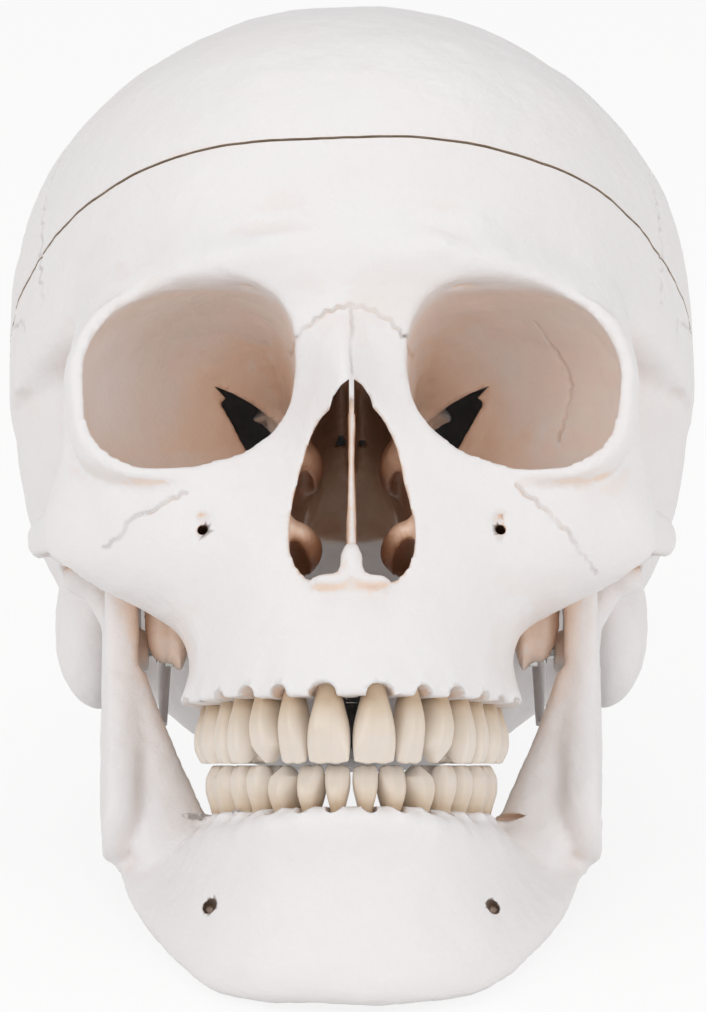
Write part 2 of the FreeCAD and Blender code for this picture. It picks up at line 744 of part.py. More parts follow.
def tooth(place, outward, gum, edge, width, depth, form, clearance):
    """A tooth, or with a clearance the socket for its root, open past the gum."""
    rings = []
    gum_rise = math.tan(math.radians(gum_slope))
    bite_rise = math.tan(math.radians(bite_slope))
    for height, wide, deep in TOOTH_FORM_SHARES[form]:
        toward_root = math.copysign(root_length, gum - edge)
        level = gum - toward_root * height if height <= 0 else gum + (edge - gum) * height
        rise = gum_rise + (bite_rise - gum_rise) * max(height, 0)
        half_width = (width - tooth_gap) * wide / 2 + clearance
        half_depth = depth * deep / 2 + clearance
        rings.append(tooth_ring(place, outward, level, rise, half_width, half_depth))
        if clearance and height == 0:
            mouth = gum + (edge - gum) * SOCKET_MOUTH_SHARE
            rings.append(tooth_ring(place, outward, mouth, gum_rise, half_width, half_depth))
            break
    return Part.makeLoft(rings, True, False)


def arch_places(half_width, length, front, widths):
    """Middle and outward direction of each tooth, walked along half an ellipse."""
    marks = []
    walked = 0
    for width in widths:
        marks.append(walked + width / 2)
        walked += width
    places = []
    walked = 0
    previous = Vector(0, -front, 0)
    for i in range(1, ARCH_STEPS):
        turn = math.pi * 0.75 * i / ARCH_STEPS
        point = Vector(half_width * math.sin(turn), length * (1 - math.cos(turn)) - front, 0)
        walked += (point - previous).Length
        previous = point
        if len(places) < len(marks) and walked >= marks[len(places)]:
            outward = Vector(length * math.sin(turn), -half_width * math.cos(turn), 0)
            places.append((point, outward.normalize()))
    return places


def upper_teeth(clearance):
    """The left upper teeth, or their sockets, by name."""
    widths = [upper_tooth_width * row[1] for row in UPPER_TEETH_SHARES]
    front = face_reach - upper_arch_inset
    places = arch_places(upper_arch_half_width, upper_arch_length, front, widths)
    teeth = {}
    for (name, wide, deep, form), (place, outward) in zip(UPPER_TEETH_SHARES, places):
        gum = -face_drop + (place.y + face_reach) * math.tan(math.radians(gum_slope))
        edge = -upper_edge_drop + (place.y + front) * math.tan(math.radians(bite_slope))
        teeth[name] = tooth(place, outward, gum, edge, upper_tooth_width * wide,
                            upper_tooth_depth * deep, form, clearance)
    return teeth


def lower_teeth(clearance):
    """The left lower teeth, or their sockets, by name."""
    widths = [lower_tooth_width * row[1] for row in LOWER_TEETH_SHARES]
    front = face_reach - lower_arch_inset
    places = arch_places(lower_arch_half_width, lower_arch_length, front, widths)
    upper_front = face_reach - upper_arch_inset
    teeth = {}
    for (name, wide, deep, form), (place, outward) in zip(LOWER_TEETH_SHARES, places):
        gum = -jaw_gum_drop + (place.y + front) * math.tan(math.radians(gum_slope))
        edge = -upper_edge_drop + (place.y + upper_front) * math.tan(math.radians(bite_slope))
        teeth[name] = tooth(place, outward, gum, edge - bite_gap, lower_tooth_width * wide,
                            lower_tooth_depth * deep, form, clearance)
    return teeth


def jaw_line(shares):
    """Middle of the jaw's wall at one station, seen from above."""
    return Vector(jaw_angle_spread * shares[0], -jaw_reach * shares[1], 0)


def jaw_ring(index, sign):
    """One section through the jaw body, on the side given by the sign."""
    row = JAW_STATION_SHARES[index]
    here = jaw_line(row)
    before = jaw_line(JAW_STATION_SHARES[index - 1]) if index else Vector(-jaw_line(
        JAW_STATION_SHARES[1]).x, jaw_line(JAW_STATION_SHARES[1]).y, 0)
    after = jaw_line(JAW_STATION_SHARES[min(index + 1, len(JAW_STATION_SHARES) - 1)])
    along = (after - before).normalize()
    outward = Vector(along.y * -1, along.x, 0) * -1
    top = -jaw_gum_drop * (1 - row[2])
    bottom = -chin_drop + (chin_drop - jaw_angle_drop) * row[3]
    points = []
    for across, height in JAW_SECTION_SHARES:
        shift = jaw_wall * row[4] * across + gum_overhang * row[5] * height * height
        point = here + outward * shift
        points.append(Vector(point.x * sign, point.y, bottom + (top - bottom) * height))
    return closed_curve(points)


def jaw_body():
    """The horseshoe of the lower jaw."""
    last = len(JAW_STATION_SHARES)
    rings = [jaw_ring(i, -1) for i in range(last - 1, 0, -1)]
    rings += [jaw_ring(i, 1) for i in range(last)]
    return Part.makeLoft(rings, True, False)


def ramus_ring(across, drawn):
    """The ramus outline on a leaning plane, drawn in about its middle."""
    points = []
    for depth, height in RAMUS_OUTLINE_SHARES:
        depth = 0.5 + (depth - 0.5) * drawn
        height = 0.42 + (height - 0.42) * drawn
        spread = ramus_rear_spread + (ramus_front_spread - ramus_rear_spread) * depth
        points.append(Vector(spread + across, -ramus_back - (ramus_front - ramus_back) * depth,
                             -jaw_angle_drop + (jaw_angle_drop - coronoid_drop) * height))
    return closed_curve(points)


def ramus():
    """The flat rear part of the jaw, with the coronoid's tip."""
    half = ramus_thickness / 2
    rings = [ramus_ring(-half, RAMUS_EDGE_SHARE), ramus_ring(0, 1), ramus_ring(half, RAMUS_EDGE_SHARE)]
    return Part.makeLoft(rings, True, False)


def inner_crest():
    """The crest that joins the last molar's socket to the ramus."""
    rings = []
    for spread, ahead, drop, wide, deep in CREST_STATION_SHARES:
        middle = Vector(jaw_angle_spread * spread, -ramus_front * ahead, -jaw_angle_drop * drop)
        points = []
        for k in range(10):
            turn = 2 * math.pi * k / 10
            points.append(middle + Vector(ramus_thickness * wide * math.cos(turn),
                                          ramus_thickness * deep * math.sin(turn), 0))
        rings.append(closed_curve(points))
    return Part.makeLoft(rings, True, False)


def condyle_neck():
    """The neck between ramus and condyle."""
    rings = []
    for spread, ahead, drop, wide, deep in NECK_STATION_SHARES:
        points = []
        for k in range(8):
            turn = 2 * math.pi * k / 8
            points.append(Vector(
                condyle_spread * spread + condyle_half_width * wide * math.cos(turn),
                -hinge_place * ahead + condyle_radius * deep * math.sin(turn),
                -hinge_drop * drop))
        rings.append(closed_curve(points))
    return Part.makeLoft(rings, True, False)


def chin_foramen():
    """The nerve opening on one side of the chin."""
    start = Vector(jaw_angle_spread * 0.56, -jaw_reach * 1.1, -chin_drop * 0.8)
    return rod_along(start, Vector(0, 1, 0), jaw_reach * 0.25 + foramen_depth, foramen_radius)


def lower_jaw():
    """The jaw casting with its sockets and screw holes."""
    side_parts = [ramus(), inner_crest(), condyle_neck(), condyle(0),
                  screw_boss(spring_foot(), -1, ramus_thickness)]
    parts = [piece for part in side_parts for piece in both_sides(part)]
    cutters = [piece for socket in lower_teeth(tooth_clearance).values()
               for piece in both_sides(socket)]
    cutters += both_sides(chin_foramen()) + both_sides(screw_hole(spring_foot(), -1))
    return jaw_body().fuse(parts).cut(cutters)


def arc_edge(start, tangent, end):
    """An arc from a start and its direction to an end, or a line if they agree."""
    chord = end - start
    aside = tangent - chord * (tangent.dot(chord) / chord.dot(chord))
    if aside.Length < 1e-6:
        return Part.LineSegment(start, end).toShape()
    half_turn = tangent.getAngle(chord)
    middle = (start + end) * 0.5 + aside.normalize() * (chord.Length / 2 * math.tan(half_turn / 2))
    return Part.Arc(start, middle, end).toShape()


def biarc(start, start_way, end, end_way):
    """Two tangent arcs between two points with given directions."""
    gap = end - start
    ways = start_way + end_way
    blend = 2 * (1 - start_way.dot(end_way))
    along = gap.dot(ways)
    if blend < 1e-9:
        reach = gap.dot(gap) / (2 * along)
    else:
        reach = (math.sqrt(along * along + blend * gap.dot(gap)) - along) / blend
    first = start + start_way * reach
    second = end - end_way * reach
    joint = (first + second) * 0.5
    joint_way = (second - first).normalize()
    return [arc_edge(start, start_way, joint), arc_edge(joint, joint_way, end)]


def eye_nodes(centre, eye_radius, toward, beside):
    """Points and directions around a hook, ending on the leg's side towards the coil."""
    nodes = []
    for quarters in (-2.9, -2, -1, 0):
        turn = math.pi / 2 * quarters
        spot = beside * math.cos(turn) + toward * math.sin(turn)
        way = toward * math.cos(turn) - beside * math.sin(turn)
        nodes.append((centre + spot * eye_radius, way))
    return nodes


def spring_path():
    """The whole wire of one jaw spring: eye, leg, turns, leg, eye."""
    top, foot = spring_top(), spring_foot()
    toward = (foot - top).normalize()
    beside = toward.cross(Vector(1, 0, 0)).normalize()
    third = toward.cross(beside)
    eye_radius = screw_radius + spring_eye_clearance + spring_wire / 2
    coil = spring_turns * spring_pitch
    start = ((foot - top).Length - coil) / 2
    bend = spring_radius / 2
    nodes = eye_nodes(top, eye_radius, toward, beside)
    lead = math.asin(bend / spring_radius)

    def on_coil(turn, height):
        return top + toward * height + (beside * math.cos(turn) + third * math.sin(turn)) * spring_radius

    rise = spring_pitch / (2 * math.pi)
    nodes.append((on_coil(-lead, start - 2 * bend), toward))
    for quarter in range(4 * spring_turns + 1):
        turn = math.pi / 2 * quarter
        around = (third * math.cos(turn) - beside * math.sin(turn)) * spring_radius + toward * rise
        nodes.append((on_coil(turn, start + coil * quarter / (4 * spring_turns)), around.normalize()))
    nodes.append((on_coil(lead, start + coil + 2 * bend), toward))
    for point, way in reversed(eye_nodes(foot, eye_radius, Vector(0, 0, 0) - toward, beside)):
        nodes.append((point, Vector(0, 0, 0) - way))
    edges = []
    for (start_point, start_way), (end_point, end_way) in zip(nodes, nodes[1:]):
        edges += biarc(start_point, start_way, end_point, end_way)
    return edges


def least_self_gap(edges):
    """The least free space between stretches of the wire that aren't neighbours."""
    samples = []
    walked = 0
    for edge in edges:
        steps = 6
        for i in range(steps):
            spot = edge.valueAt(edge.FirstParameter + (edge.LastParameter - edge.FirstParameter)
                                * i / steps)
            samples.append((walked + edge.Length * i / steps, spot))
        walked += edge.Length
    apart = 4 * spring_wire
    least = min((a[1] - b[1]).Length for i, a in enumerate(samples) for b in samples[i + 1:]
                if b[0] - a[0] > apart)
    return least - spring_wire


def jaw_spring():
    """One spring as an unbroken round wire."""
    edges = spring_path()
    print("spring wire's least gap to itself:", round(least_self_gap(edges), 3))
    path = Part.Wire(edges)
    start = edges[0].valueAt(edges[0].FirstParameter)
    way = edges[0].tangentAt(edges[0].FirstParameter)
    section = Part.Wire([Part.Circle(start, way, spring_wire / 2).toShape()])
    return path.makePipeShell([section], True, False)


def nasal_septum(passage):
    """The thin wall that parts the nose, filling the passage from floor to roof."""
    points = []
    for ahead, height in SEPTUM_SHARES:
        level = nose_top * height if height > 0 else nose_bottom * height
        points.append(Vector(-septum_thickness / 2, -face_reach * ahead, level))
    plate = Part.Face(polygon(points)).extrude(Vector(septum_thickness, 0, 0))
    return largest_solid(plate.common(passage))


def concha(which, passage):
    """A curled shelf on the nose's left side wall."""
    ahead, height, wide, long, high = CONCHA_SHARES[which]
    half_x, half_y, half_z = nose_half_width * wide, face_reach * long, nose_bottom * high
    centre = Vector(nose_half_width * 0.92, -face_reach * ahead, nose_bottom * height)
    roll = ellipsoid(centre, half_x, half_y, half_z)
    hollow = ellipsoid(centre + Vector(concha_thickness, 0, -concha_thickness * 2),
                       half_x - concha_thickness / 2, half_y * 1.2, half_z - concha_thickness / 2)
    return largest_solid(roll.cut(hollow).common(passage))


def cheek_arch(skull):
    """The bony bar from the left cheek bone back to the ear."""
    rings = []
    points_round = 10
    for across, ahead, height, tall in ARCH_STATION_SHARES:
        middle = Vector(arch_half_breadth * across - arch_thickness / 2, -face_reach * ahead,
                        arch_height * height)
        points = []
        for k in range(points_round):
            turn = 2 * math.pi * k / points_round
            points.append(middle + Vector(arch_thickness / 2 * math.cos(turn), 0,
                                          arch_height * tall / 2 * math.sin(turn)))
        rings.append(closed_curve(points))
    bar = Part.makeLoft(rings, True, False)
    return largest_solid(bar.cut([skull, condyle(condyle_clearance)]))


def whole_skull(outer, inner, pins, magnets):
    """Base and face as one casting, up to the saw cut."""
    block = face_block().cut(both_sides(cheek_hollow()))
    masses = [piece for shares in SIDE_MASS_SHARES for piece in both_sides(side_mass(shares))]
    masses += both_sides(jaw_seat()) + both_sides(styloid_boss())
    shell = outer.fuse([block] + masses).cut(inner)
    sockets = both_sides(eye_socket(0))
    passage = nose_passage()
    walls = both_sides(eye_socket(socket_wall)) + both_sides(side_mass(EAR_MASS_SHARES))
    walls += [side_mass(MIDDLE_MASS_SHARES)]
    walls += [piece for stations in PLATE_STATION_SHARES
              for piece in both_sides(hanging_plate(stations))]
    walls += [boss.common(outer) for boss in rim_bosses(pins + magnets, False)]
    walls += both_sides(screw_boss(spring_top(), 1, screw_length * 2))
    cutters = sockets + [passage, palate(), foramen_magnum()] + both_sides(fissure())
    cutters += both_sides(face_foramen()) + both_sides(condyle(condyle_clearance))
    cutters += both_sides(styloid_hole()) + both_sides(screw_hole(spring_top(), 1))
    ear = rod_along(Vector(ear_hole_end, 0, 0), Vector(1, 0, 0), overrun, ear_hole_radius)
    cutters += both_sides(ear)
    cutters += [piece for socket in upper_teeth(tooth_clearance).values()
                for piece in both_sides(socket)]
    cutters += [rod_along(place - cut_normal() * pin_root, cut_normal(), pin_root + pin_stand,
                          pin_radius + tooth_clearance) for place in pins]
    cutters += magnet_pockets(magnets, False)
    skull = shell.fuse(walls).cut(cutters)
    return skull.cut(beyond_cut(0, True))


def skull_cap(outer, inner, pins, magnets):
    """The lift-off cap, with holes for the pins and pockets for the magnets."""
    shell = outer.cut(inner)
    bosses = [boss.common(outer) for boss in rim_bosses(pins + magnets, True)]
    cap = shell.fuse(bosses).cut(pin_holes(pins) + magnet_pockets(magnets, True))
    return cap.cut(beyond_cut(cut_gap, False))


def parted_casting(skull):
    """The casting parted into the face, the forehead above it and the brain case behind both."""
    size = front_reach + back_reach + overrun
    front = Part.makeBox(2 * size, size, 2 * size)
    front.translate(Vector(-size, -size - face_joint_place, -size))
    lower = Part.makeBox(2 * size, size, size)
    lower.translate(Vector(-size, -size - face_joint_place, -size + face_joint_level))
    ahead = skull.common(front)
    return ahead.common(lower), ahead.cut(lower), skull.cut(front)


def pieces_of_skull():
    """Every piece in the upright frame, by node name."""
    outer = vault(0).fuse(case_base(0))
    inner = vault(case_wall).fuse(case_base(case_wall))
    pins = [rim_place(turn, inner) for turn in PIN_TURN_SHARES]
    magnets = [rim_place(turn, inner) for turn in MAGNET_TURN_SHARES]
    passage = nose_passage()
    skull = whole_skull(outer, inner, pins, magnets)
    face, forehead, base = parted_casting(skull)
    spring = jaw_spring()
    pieces = {"cranial_base": base, "face_casting": face, "forehead_casting": forehead,
              "nasal_septum": nasal_septum(passage),
              "skull_cap": skull_cap(outer, inner, pins, magnets), "lower_jaw": lower_jaw(),
              "cap_locating_pins": Part.makeCompound(locating_pins(pins)),
              "base_magnets": Part.makeCompound(magnet_discs(magnets, False)),
              "cap_magnets": Part.makeCompound(magnet_discs(magnets, True)),
              "upper_spring_screws": Part.makeCompound(both_sides(hook_screw(spring_top(), 1))),
              "lower_spring_screws": Part.makeCompound(both_sides(hook_screw(spring_foot(), -1)))}
    arch = cheek_arch(skull)
    for side in SIDES:
        pieces[side + "_cheek_arch"] = on_side(arch, side)
        pieces[side + "_styloid_process"] = on_side(styloid_process(), side)
        pieces[side + "_jaw_spring"] = on_side(spring, side)
        for which in CONCHA_SHARES:
            pieces[side + "_" + which + "_concha"] = on_side(concha(which, passage), side)
        for name, shape in upper_teeth(0).items():
            pieces["upper_" + side + "_" + name] = on_side(shape, side)
        for name, shape in lower_teeth(0).items():
            pieces["lower_" + side + "_" + name] = on_side(shape, side)
    return pieces


def lean_back(shape):
    """The piece as it leans on the table, before it is centred."""
    shape = shape.copy()
    shape.rotate(Vector(0, 0, 0), Vector(1, 0, 0), -rest_lean)
    return shape


def main():
    """Build, lean, centre and write every piece."""
    pieces = {name: lean_back(shape) for name, shape in pieces_of_skull().items()}
    box = Part.makeCompound(list(pieces.values())).optimalBoundingBox(False, False)
    shift = Vector(-(box.XMin + box.XMax) / 2, -(box.YMin + box.YMax) / 2, -box.ZMin)
    os.makedirs("parts", exist_ok=True)
    for name, shape in pieces.items():
        shape.translate(shift)
        shape.exportStep("parts/" + name + ".step")
        print(name, shape.isValid(), len(shape.Solids), round(shape.Volume, 1))
    turn = Rotation(Vector(1, 0, 0), -rest_lean)
    hinge = turn.multVec(Vector(0, -hinge_place, -hinge_drop)) + shift
    lift = turn.multVec(cut_normal())
    print("size", [round(value, 2) for value in (box.XLength, box.YLength, box.ZLength)])
    print("jaw hinge", hinge, "degrees", jaw_opening)
    print("cap lifts along", lift, "from", turn.multVec(cut_point()) + shift)
    for name in ("lower_jaw", "cranial_base"):
        lowest = pieces[name].optimalBoundingBox(False, False).ZMin
        print("lowest point of", name, round(lowest, 2))


main()
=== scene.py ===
"""Looks of the anatomical skull model: cast PVC bones, ivory teeth and the small steel parts.

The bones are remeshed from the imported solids, so that casting, face and arches read as one skin,
and then carved in code: creases are eased, ridges raised, sutures and small openings cut. Places
on the bones are given in the upright head's own millimetres: X to the skull's left, Y back from
the ear openings, Z up from the eye sockets' lower rims.
"""

import bmesh
import bpy
import math
import numpy as np
import random

from mathutils import Matrix, Vector, noise
from mathutils.bvhtree import BVHTree


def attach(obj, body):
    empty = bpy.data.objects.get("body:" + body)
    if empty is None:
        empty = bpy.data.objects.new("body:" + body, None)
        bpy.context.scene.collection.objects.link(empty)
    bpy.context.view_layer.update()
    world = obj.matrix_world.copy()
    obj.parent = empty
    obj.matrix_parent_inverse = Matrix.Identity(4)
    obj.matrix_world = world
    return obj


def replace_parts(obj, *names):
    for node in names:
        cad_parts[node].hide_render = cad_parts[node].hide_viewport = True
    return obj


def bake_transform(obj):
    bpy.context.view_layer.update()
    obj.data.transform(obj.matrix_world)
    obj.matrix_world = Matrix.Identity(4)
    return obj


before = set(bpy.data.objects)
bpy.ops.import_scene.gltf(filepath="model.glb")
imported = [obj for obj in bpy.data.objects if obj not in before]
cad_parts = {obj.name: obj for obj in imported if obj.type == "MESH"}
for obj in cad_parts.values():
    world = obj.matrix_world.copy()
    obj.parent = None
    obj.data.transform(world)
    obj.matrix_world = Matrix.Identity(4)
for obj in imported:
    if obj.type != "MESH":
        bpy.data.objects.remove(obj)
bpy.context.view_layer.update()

# The head leans back on the table by this much, and its ear line ends up here, in metres
LEAN = math.radians(30.2)
EAR_LINE = Vector((0.0, 0.0088706, 0.0521882))
MM = 0.001

# The photograph's camera, in the upright head's millimetres
PICTURE = (706, 1012)
FOCAL_PIXELS = 8050
CAMERA_RANGE = 1594
CAMERA_RISE = math.radians(14)
HEAD_PIXEL = (351.5, 566)

# Saw cut: a point on the forehead, the slope down to the back, and half its width
CUT_POINT = (0.0, -90.0, 63.6)
CUT_SLOPE = math.radians(13)
CUT_HALF = 0.3

# Gum edges: distance in front of the ear line, drop below the eye sockets and rise to the back
UPPER_GUM = (93.0, 48.0)
LOWER_GUM = (85.8, 67.5)
GUM_RISE = math.tan(math.radians(10))

# Tooth arches, half ellipses: front, half width and length
UPPER_ARCH = (89.4, 25.0, 45.0)
LOWER_ARCH = (85.8, 23.2, 44.5)

# Skins: voxel sizes in millimetres, and the most triangles that each bone keeps
BONE_VOXEL = 1.0
JAW_VOXEL = 0.9
TOOTH_VOXEL = 0.3
BONE_TRIANGLES = 185000
CAP_TRIANGLES = 110000
JAW_TRIANGLES = 120000

# Welding distance and size of the cutting blocks, in metres
WELD = 1e-6
BLOCK_SIZE = 0.6

# Sunk roots are this much wider than the teeth, and reach this far past the gum's edge
ROOT_SPREAD = 1.08
ROOT_COVER = 0.2

# Room round the magnets and pins in the sawn rims
FITTING_ROOM = 0.15

# A face belongs to the saw cut if it is this near to it and this well aligned with it
SAWN_REACH = 0.12
SAWN_ALIGNED = 0.9

# The teeth from the middle to the back
TOOTH_ORDER = ["central_incisor", "lateral_incisor", "canine", "first_premolar",
               "second_premolar", "first_molar", "second_molar", "third_molar"]
# How far the bone's edge arches up over each tooth's neck, in the same order, the arch's share
# of the tooth's width, and how far its cut runs out past the tooth
GUM_RISES = [2.2, 2.2, 2.4, 1.8, 1.5, 1.3, 1.2, 1.1]
ARCH_SHARE = 0.72
ARCH_REACH = 6.0
# How many of a tooth's places next to the gum give its neck
NECK_SPOTS = 60

# Ridges over the roots: height, share of the tooth's width, and how far they run
RIDGE_HEIGHT = 0.7
RIDGE_SHARE = 0.75
CANINE_RIDGE = 15.0
OTHER_RIDGE = 10.0
# A ridge starts this far before the gum's edge and is full this much further on, and needs to be
# this far in front of the root's middle
RIDGE_START = (2.0, 3.0)
RIDGE_FRONT = 3.0

# A tooth's neck: shares taken off its width and depth, how high up the crown that fades, and
# the neck's tint with how fast it fades
NECK_SLIM = (0.09, 0.07)
NECK_FADE = 0.5
NECK_TINT = (1.05, 1.5)

# The bitten end starts at this share of the crown and is full this much further on
EDGE_START = 0.72
EDGE_RUN = 0.2
# Molars: depth of the fissures, their half widths as shares of the tooth, and the worn rim
FISSURE_DEPTH = 1.0
FISSURE_SHARES = (0.22, 0.2)
CUSP_RIM = 0.7
# Depth at the corners and how sharply it falls there, and depth and number of the edge's waves
CANINE_POINT = (1.5, 1.2)
INCISOR_CORNER = (0.45, 4)
INCISOR_WAVES = (0.10, 2.6)

# Upright furrows on a tooth's front: depth, waves over half the width, and an even reduction
FURROWS = (0.10, 2.2)
FRONT_TRIM = 0.05

# Regions where the casting's creases are eased: x, y, z and radius in upright millimetres
EASED_REGIONS = [(50, -60, 38, 18), (62, -46, 26, 18), (30, -82, 46, 18), (0, -90, 44, 18),
                 (66, -32, 22, 16), (66, -20, 8, 12), (56, -52, 8, 8)]

# Where the hollows show their painted warm shade in full: eye sockets and nose, x, y, z and radius
FULL_SHADE_REGIONS = [(31, -66, 17, 56), (0, -70, -8, 70)]
# Elsewhere the hollows show this share of their painted shade
FAINT_SHADE_SHARE = 0.3

# Even painted shade in the eye sockets: middle, radius, soft edge, strength, and where the rim ends
# it
SOCKET_MIDDLE = (31, -62, 17)
SOCKET_RADIUS = 31
SOCKET_EDGE = 4
SOCKET_SHADE = 0.15
SOCKET_RIM = (-82, 8)

# The painted shade in the hollows is worked out from how much nearby bone closes round the skin
# How far, in how many directions and from what height over the skin nearby bone is looked for,
# and the angle between one direction and the next
HOLLOW_REACH = 30.0
HOLLOW_RAYS = 8
HOLLOW_START = 0.4
GOLDEN_TURN = 2.399963

# Waves of the cast surface: weight, waves per millimetre, and if the seed moves them; then
# their depth, an even sinking as a share of it, and the seeds
CAST_WAVES = [(1.5, 0.05, 1), (1.0, 0.12, 1), (0.5, 0.37, 0)]
CAST_DEPTH = 0.28
CAST_SINK = 0.4
SKULL_SEED = 3.7
JAW_SEED = 8.1

# Rounds of easing for the creases and for the plain skin, which is eased by half
CREASE_ROUNDS = 150
SKULL_ROUNDS = 2
JAW_ROUNDS = 3
PLAIN_EASE = 0.5

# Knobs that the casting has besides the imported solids: x, y, z and half sizes, left side
KNOBS = [(0.0, -91.0, -22.0, 2.3, 3.0, 4.0), (3.6, -90.5, -25.6, 4.2, 3.0, 1.5)]

# Canals through the face and the chin: x, y, z, half width and depth
FACE_CANALS = [(28.0, -78.0, -12.6, 1.05, 6.0)]
JAW_CANALS = [(26.6, -69.0, -82.7, 1.5, 4.5)]
# How dark the painted shade inside them shows, and which skin is inside: nearness to the axis in
# half widths, distance along it, and how little it may face backwards
CANAL_SHADE = 0.85
CANAL_SPAN = 1.02
CANAL_DEPTH = 9
CANAL_FACING = -0.6

# Suture grooves: width, depth, and how far the skin round them is made finer
GROOVE_WIDTH = 0.32
GROOVE_DEPTH = 0.38
GROOVE_REACH = 1.6
# Their dark line: how far it is worked out, half width, mean tone and its swing, least tone, and
# patches per millimetre
SEAM_REACH = 1.5
SEAM_WIDTH = 0.28
SEAM_TONE = (0.6, 0.9)
SEAM_LEAST = 0.15
SEAM_PATCHES = 0.16

# Outlines in photograph pixels, and the depths between which two of them are cut through
SOCKET_SLIT = [(214, 386), (232, 393), (252, 404), (268, 416), (277, 424), (274, 433),
               (266, 446), (256, 445), (247, 425), (230, 403)]
SOCKET_SLIT_DEPTHS = (-60.0, -30.0)
NOSE_TOP = [(349, 379), (341, 385), (333, 397), (328, 414), (349, 414)]
NOSE_TOP_DEPTHS = (-106.0, -70.0)

# Sutures of the face, in photograph pixels
NASAL_ARCH = [(289, 356), (300, 334), (318, 316), (338, 307), (352, 305), (368, 308),
              (388, 318), (403, 336), (414, 358)]
NASAL_LINE = [(352, 305), (353, 330), (351, 352), (352, 374)]
LEFT_CHEEK_LINE = [(104, 548), (120, 536), (128, 520), (150, 512), (168, 500), (186, 492)]
RIGHT_CHEEK_LINE = [(516, 486), (535, 500), (552, 516), (566, 530), (580, 552), (597, 574)]
SOCKET_LINE = [(533, 322), (548, 342), (562, 362), (572, 385), (566, 410), (558, 440)]

# Guides for the vault's sutures, in upright millimetres
CROWN_LINE = [(0, -12, 112), (22, -14, 106), (42, -22, 92), (58, -34, 68), (64, -44, 44),
              (62, -50, 28)]
MIDDLE_LINE = [(0, -12, 112), (0, 10, 113), (0, 35, 108), (0, 58, 96), (0, 76, 76)]
BACK_LINE = [(0, 76, 76), (18, 76, 62), (36, 68, 42), (50, 58, 22), (56, 46, 6)]
SIDE_LINE = [(62, -46, 26), (66, -30, 42), (68, -8, 46), (67, 14, 40), (63, 32, 22),
             (58, 42, 8)]
# The guides are drawn in to the skin towards this place
VAULT_MIDDLE = (0, 0, 45)

# How far each suture swings to its sides, and the steps between its turns, in millimetres
MIDDLE_SWAY = 1.6
VAULT_SWAYS = [(CROWN_LINE, 1.3), (BACK_LINE, 2.2), (SIDE_LINE, 0.7)]
FACE_SWAYS = [(NASAL_ARCH, 0.45), (NASAL_LINE, 0.15), (LEFT_CHEEK_LINE, 0.35),
              (RIGHT_CHEEK_LINE, 0.35), (SOCKET_LINE, 0.35)]
VAULT_STEP = 1.5
FACE_STEP = 1.2

# Lamp name, place, size in metres and watts, and the place that all of them face
LAMPS = [
    ("key_box", (-1.10, -0.78, 0.85), 1.1, 6.6),
    ("front_box", (0.0, -1.80, 0.85), 0.9, 3.3),
    ("fill_box", (1.10, -0.74, 0.50), 1.0, 4.6),
    ("top_box", (0.0, 0.30, 1.30), 0.9, 3.0),
]
LAMP_AIM = (0, 0, 0.08)
# Strength of the white world on the object, half width of the floor in metres, and how much of
# the floor's look is plain white
SKY_STRENGTH = 0.52
FLOOR_HALF = 6.0
GROUND_GLOW = 0.86


def upright(points):
    """Packed-frame metres to the upright head's millimetres."""
    p = np.asarray(points, float) - np.array(EAR_LINE)
    c, s = math.cos(LEAN), math.sin(LEAN)
    return np.stack([p[:, 0], c * p[:, 1] - s * p[:, 2], s * p[:, 1] + c * p[:, 2]], 1) / MM


def leaned(points):
    """The upright head's millimetres to packed-frame metres."""
    p = np.asarray(points, float) * MM
    c, s = math.cos(LEAN), math.sin(LEAN)
    turned = np.stack([p[:, 0], c * p[:, 1] + s * p[:, 2], c * p[:, 2] - s * p[:, 1]], 1)
    return turned + np.array(EAR_LINE)


def place(x, y, z):
    """One upright place as a packed-frame vector."""
    return Vector(leaned([(x, y, z)])[0])


def turn(x, y, z):
    """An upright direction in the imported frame."""
    return place(x, y, z) - place(0, 0, 0)


def linear(code):
    """An sRGB hex colour as linear RGBA."""
    parts = [int(code[i:i + 2], 16) / 255 for i in (1, 3, 5)]
    return [c / 12.92 if c <= 0.04045 else ((c + 0.055) / 1.055) ** 2.4 for c in parts] + [1.0]


def every(size):
    """A pattern's scale from the real size of its features in millimetres."""
    return 1 / (size * MM)


def new_object(name, bm):
    """Stores a bmesh as a smooth-shaded object."""
    mesh = bpy.data.meshes.new(name)
    bm.to_mesh(mesh)
    bm.free()
    mesh.shade_smooth()
    obj = bpy.data.objects.new(name, mesh)
    bpy.context.scene.collection.objects.link(obj)
    return obj


def apply_modifiers(obj):
    """Fixes the modifiers into the mesh."""
    graph = bpy.context.evaluated_depsgraph_get()
    fixed = bpy.data.meshes.new_from_object(obj.evaluated_get(graph))
    obj.modifiers.clear()
    old = obj.data
    obj.data = fixed
    bpy.data.meshes.remove(old)
    obj.data.shade_smooth()
    return obj


def copied(nodes, name, roots=(), clip=None):
    """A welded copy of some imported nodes; of each root only what is sunk past the gum is kept."""
    bm = bmesh.new()
    for node in nodes:
        bm.from_mesh(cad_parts[node].data)
    bmesh.ops.remove_doubles(bm, verts=bm.verts, dist=WELD)
    for node in roots:
        tooth = bmesh.new()
        tooth.from_mesh(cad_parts[node].data)
        bmesh.ops.remove_doubles(tooth, verts=tooth.verts, dist=WELD)
        spots = upright([v.co for v in tooth.verts])
        middle = spots.mean(0)
        spots[:, :2] = middle[:2] + (spots[:, :2] - middle[:2]) * ROOT_SPREAD
        spots[:, 2] = clip(spots)
        for vert, spot in zip(tooth.verts, leaned(spots)):
            vert.co = spot
        spare = bpy.data.meshes.new("root")
        tooth.to_mesh(spare)
        tooth.free()
        bm.from_mesh(spare)
        bpy.data.meshes.remove(spare)
    return new_object(name, bm)


